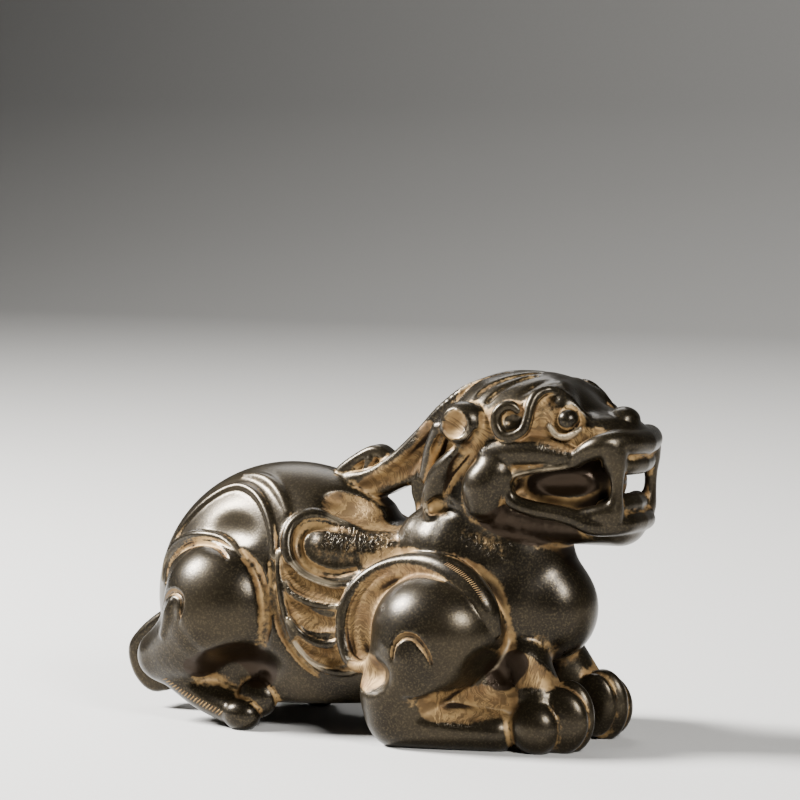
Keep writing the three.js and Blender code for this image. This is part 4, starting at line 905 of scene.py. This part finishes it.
def patinated_brass():
    """Cast brass, chased in the grooves, browned by patina and rubbed to a satin shine by handling.

    The rubbed high forms are dark olive brown with soft lights in them, the sharp edges are worn to
    bright brass and lightened further as a painted highlight, the grooves keep a dry tan gold, scored
    across by the chasing tool, and the deepest corners and the noted creases and places under parts get
    a painted dark-brown shade.
    """
    material = bpy.data.materials.new("brass_cast_chased_patinated_hand_rubbed")
    material.use_nodes = True
    tree = material.node_tree
    shader = tree.nodes["Principled BSDF"]
    place = add(tree, "ShaderNodeTexCoord", give="Object")
    marks = {name: add(tree, "ShaderNodeAttribute", {"attribute_name": name}, "Fac")
             for name in ("sunk", "deep", "sharp", "along", "chased")}
    cloud, blotch, grain, rubbed = [
        add(tree, "ShaderNodeTexNoise", Vector=place, Scale=1 / (size * MM), Detail=detail, Roughness=0.55)
        for size, detail in ((CLOUD_SIZE, 4.0), (BLOTCH_SIZE, 4.0), (GRAIN_SIZE, 3.0), (RUBBED_SIZE, 2.0))]
    score = tool_strokes(tree, place, marks)

    # where the dry gold shows: sunk and chased places, with a ragged edge
    ragged = add(tree, MATH, TIMES, i0=blotch, i1=BLOTCH_SHARE)
    frayed = add(tree, MATH, TIMES, i0=rubbed, i1=RUBBED_SHARE)
    ragged = add(tree, MATH, PLUS, i0=ragged, i1=frayed)
    sunk = add(tree, MATH, PLUS, i0=marks["sunk"], i1=ragged)
    chased = add(tree, MATH, TIMES, i0=marks["chased"], i1=CHASED_SHARE)
    sunk = add(tree, MATH, PLUS, i0=sunk, i1=chased)
    dry = add(tree, RAMP, SMOOTH, Value=sunk, From_Min=0.78, From_Max=1.1)
    # and where the painted dark-brown shade goes, and the sharp edges that are worn bright and lightened
    # also as a painted highlight
    painted_shade = add(tree, RAMP, SMOOTH, Value=marks["deep"], From_Min=0.6, From_Max=0.88)
    edge = add(tree, MATH, TIMES, i0=cloud, i1=CLOUD_SHARE)
    edge = add(tree, MATH, PLUS, i0=marks["sharp"], i1=edge)
    bright = add(tree, RAMP, SMOOTH, Value=edge, From_Min=0.45, From_Max=0.95)

    # colours, each over the one before: patina, its grain, dry gold with strokes, painted dark-brown
    # shade, worn edges lightened also as a painted highlight
    clouded = add(tree, RAMP, SMOOTH, Value=cloud, From_Min=0.35, From_Max=0.7)
    grained = add(tree, RAMP, SMOOTH, Value=grain, From_Min=0.45, From_Max=0.75)
    blotched = add(tree, RAMP, SMOOTH, Value=blotch, From_Min=0.3, From_Max=0.7)
    scored = add(tree, MATH, TIMES, i0=score, i1=STROKE_TONE)
    high = add(tree, MIX, BLEND, 2, i0=clouded, i6=linear("1C170F"), i7=linear("2D261A"))
    high = add(tree, MIX, BLEND, 2, i0=grained, i6=high, i7=linear("3F3727"))
    gold = add(tree, MIX, BLEND, 2, i0=blotched, i6=linear("62492C"), i7=linear("8E744C"))
    gold = add(tree, MIX, BLEND, 2, i0=scored, i6=gold, i7=linear("4C3A24"))
    colour = add(tree, MIX, BLEND, 2, i0=dry, i6=high, i7=gold)
    # painted dark-brown shade in the deep hollows and on the noted shade paths
    colour = add(tree, MIX, BLEND, 2, i0=painted_shade, i6=colour, i7=linear("24190D"))
    # sharp edges worn to brighter brass, lightened also as a painted highlight
    colour = add(tree, MIX, BLEND, 2, i0=bright, i6=colour, i7=linear("8C7F69"))

    dried = add(tree, MATH, TIMES, i0=dry, i1=DRY_ROUGHNESS)
    dulled = add(tree, MATH, TIMES, i0=cloud, i1=CLOUD_ROUGHNESS)
    rough = add(tree, MATH, PLUS, i0=dried, i1=dulled)
    rough = add(tree, MATH, PLUS, i0=rough, i1=SATIN)

    pits = add(tree, MATH, TIMES, i0=grain, i1=GRAIN_RELIEF)
    strokes = add(tree, MATH, TIMES, i0=score, i1=STROKE_RELIEF)
    rise = add(tree, MATH, PLUS, i0=pits, i1=strokes)
    scuffs = add(tree, MATH, TIMES, i0=rubbed, i1=RUBBED_RELIEF)
    rise = add(tree, MATH, PLUS, i0=rise, i1=scuffs)
    bump = add(tree, "ShaderNodeBump", Height=rise, Strength=RELIEF_STRENGTH, Distance=RELIEF_HEIGHT * MM)
    tree.links.new(colour, shader.inputs["Base Color"])
    tree.links.new(rough, shader.inputs["Roughness"])
    tree.links.new(bump, shader.inputs["Normal"])
    shader.inputs["Metallic"].default_value = BRASS_METALLIC
    return material


# The floor's paint: the size of its tooth in millimetres, and how matt it is
TOOTH_SIZE = 1.111
PAINT_ROUGHNESS = 0.75


def floor_paint():
    """Matt painted board: pale and even, with a faint tooth from the roller."""
    material = bpy.data.materials.new("board_painted_matt_rolled")
    material.use_nodes = True
    tree = material.node_tree
    shader = tree.nodes["Principled BSDF"]
    place = add(tree, "ShaderNodeTexCoord", give="Object")
    tooth = add(tree, "ShaderNodeTexNoise", Vector=place, Scale=1 / (TOOTH_SIZE * MM), Detail=2.0)
    tone = add(tree, MIX, BLEND, 2, i0=tooth, i6=linear("A8A6A2"), i7=linear("AFADA9"))
    tree.links.new(tone, shader.inputs["Base Color"])
    shader.inputs["Roughness"].default_value = PAINT_ROUGHNESS
    return material


# Rows of short strokes left by the chasing tool, each a shallow raised grain along a path
TICK_SPACING, TICK_LENGTH, TICK_WIDTH, TICK_HEIGHT = 0.75, 1.7, 0.28, 0.1
# how sunk the finish takes them to be
TICK_SUNK = 0.6
# each row's path x, z, how far its ticks lean, in radians, and their share of the full size
ROWS = [
    # lower edge of the hind foot
    ([(-39.6, 8.2), (-36.6, 6.4), (-33.1, 5.0), (-29.7, 3.8), (-27.2, 2.9)], 0.55, 1.0),
    # top of the crescent round the shoulder, towards the chest
    ([(19.4, 33.6), (22.6, 32.2), (25.4, 30.2), (27.6, 27.6)], 0.3, 0.6),
]


def tick_tree():
    """Resamples a path and lays one flattened grain on the surface at each point."""
    tree = bpy.data.node_groups.new("rows_of_ticks", "GeometryNodeTree")
    sockets = {"Geometry": "NodeSocketGeometry", "Finish": "NodeSocketMaterial"}
    for name in ("Spacing", "Length", "Width", "Height", "Slant"):
        sockets[name] = "NodeSocketFloat"
    for name, kind in sockets.items():
        tree.interface.new_socket(name, in_out="INPUT", socket_type=kind)
    tree.interface.new_socket("Geometry", in_out="OUTPUT", socket_type="NodeSocketGeometry")
    given = tree.nodes.new("NodeGroupInput").outputs
    curve = add(tree, "GeometryNodeMeshToCurve", Mesh=given["Geometry"])
    even = add(tree, "GeometryNodeResampleCurve", {"mode": "LENGTH"}, Curve=curve, Length=given["Spacing"])
    size = add(tree, "ShaderNodeCombineXYZ", X=given["Length"], Y=given["Width"], Z=given["Height"])
    ball = add(tree, "GeometryNodeMeshIcoSphere", Radius=0.5, Subdivisions=2)
    grain = add(tree, "GeometryNodeTransform", Geometry=ball, Scale=size)
    outward = add(tree, "GeometryNodeInputNamedAttribute", {"data_type": "FLOAT_VECTOR"}, Name="outward")
    tangent = add(tree, "GeometryNodeInputTangent")
    facing = add(tree, "FunctionNodeAxesToRotation", {"primary_axis": "Z", "secondary_axis": "Y"},
                 i0=outward, i1=tangent)
    turn = add(tree, "ShaderNodeCombineXYZ", Z=given["Slant"])
    slanted = add(tree, "FunctionNodeRotateRotation", {"rotation_space": "LOCAL"}, i0=facing, i1=turn)
    laid = add(tree, "GeometryNodeInstanceOnPoints", Points=even, Instance=grain, Rotation=slanted)
    real = add(tree, "GeometryNodeRealizeInstances", Geometry=laid)
    smooth = add(tree, "GeometryNodeSetShadeSmooth", Geometry=real)
    done = add(tree, "GeometryNodeSetMaterial", Geometry=smooth, Material=given["Finish"])
    add(tree, "NodeGroupOutput", i0=done)
    return tree


def tick_row(name, points, normals, inputs, tree):
    """One row of ticks along the points, as a plain mesh."""
    mesh = bpy.data.meshes.new("path")
    mesh.from_pydata(points.tolist(), [(k, k + 1) for k in range(len(points) - 1)], [])
    layer = mesh.attributes.new("outward", "FLOAT_VECTOR", "POINT")
    layer.data.foreach_set("vector", normals.astype(f32).ravel())
    piece = placed(name, mesh)
    rows = piece.modifiers.new("rows", "NODES")
    rows.node_group = tree
    for item in tree.interface.items_tree:
        if item.name in inputs:
            rows[item.identifier] = inputs[item.name]
    plain = made_plain(piece, rows)
    written(plain, "sunk", np.full(len(plain.vertices), TICK_SUNK))
    return piece


def ticks(figure, finish):
    """The rows on both flanks."""
    tree = tick_tree()
    sizes = {"Spacing": TICK_SPACING, "Length": TICK_LENGTH, "Width": TICK_WIDTH, "Height": TICK_HEIGHT}
    made = []
    for number, (path, slant, share) in enumerate(ROWS):
        row = np.array(figure.on([(x, z, 0) for x, z in spline(path, ROW_STEPS)]))[:, :3]
        normals = slopes(figure, row)[1]
        normals /= np.linalg.norm(normals, axis=1)[:, None]
        for side, flank in ((-1, "right"), (1, "left")):
            inputs = {name: value * share * MM for name, value in sizes.items()}
            inputs["Slant"] = slant * side
            inputs["Finish"] = finish
            points = (row * [1, side, 1] - [MODEL_MIDDLE_X, 0, 0]) * MM
            name = "ticks_%d_%s" % (number + 1, flank)
            made.append(tick_row(name, points, normals * [1, side, 1], inputs, tree))
    return made


# The photograph's camera: its place and lens in millimetres, its turn and drop in degrees
EYE = (325.82 - MODEL_MIDDLE_X, -612.8, 121.4)
EYE_TURN, EYE_DROP = 27.878, 4.980
LENS, SENSOR, NEAREST_SEEN = 170.1, 36.0, 10.0


def camera():
    """The photograph's view."""
    data = bpy.data.cameras.new("camera")
    data.lens = LENS
    data.sensor_width = SENSOR
    data.clip_start = NEAREST_SEEN * MM
    eye = placed("camera", data)
    eye.location = [v * MM for v in EYE]
    eye.rotation_euler = (math.radians(90 - EYE_DROP), 0, math.radians(EYE_TURN))
    bpy.context.scene.camera = eye


# The studio, in metres, degrees and watts. Each soft light's azimuth, elevation, distance, width and power
SOFT_LIGHTS = {
    "key": (-72, 38, 0.75, 0.19, 46.0),
    "side": (56, 31, 0.7, 0.16, 8.0),
    "back": (-146, 50, 0.9, 0.4, 3.0),
}
# height of the figure's middle, which the lights face
MIDDLE_HEIGHT = 0.03
# the floor's width to each side, and its profile y, z, which curves up far behind
FLOOR_SIDE = 3.0
FLOOR_PROFILE = [(-3.0, 0), (1.0, 0), (1.5, 0.1), (1.8, 0.5), (1.9, 2.5)]
AIR_STRENGTH = 0.05


def softbox(name, azimuth, elevation, distance, size, power):
    """Square light that faces the figure's middle."""
    data = bpy.data.lights.new(name, "AREA")
    data.size = size
    data.energy = power
    lamp = placed(name, data)
    a, e = math.radians(azimuth), math.radians(elevation)
    lamp.location = (distance * math.sin(a) * math.cos(e), -distance * math.cos(a) * math.cos(e),
                     MIDDLE_HEIGHT + distance * math.sin(e))
    lamp.rotation_euler = (math.radians(90) - e, 0, a)


def room():
    """Plain pale floor, and even light all round."""
    points = np.array([(x, y, z) for x in (-FLOOR_SIDE, FLOOR_SIDE) for y, z in FLOOR_PROFILE])
    n = len(FLOOR_PROFILE)
    faces = np.array([[k, n + k, n + k + 1, k + 1] for k in range(n - 1)])
    floor = placed("floor", plain_mesh("floor", points, faces))
    floor.data.materials.append(floor_paint())
    world = bpy.data.worlds.new("studio")
    world.use_nodes = True
    air = world.node_tree.nodes["Background"]
    air.inputs["Color"].default_value = linear("BFC4CC")
    air.inputs["Strength"].default_value = AIR_STRENGTH
    bpy.context.scene.world = world


def build():
    camera()
    room()
    for name, place in SOFT_LIGHTS.items():
        softbox(name, *place)
    figure = whole_figure()
    piece = skin(figure)
    finish_marks(figure, piece)
    finish = patinated_brass()
    piece.data.materials.clear()
    piece.data.materials.append(finish)
    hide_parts("pixiu_figure")
    for made in [piece, *ticks(figure, finish)]:
        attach(made, "root")


build()
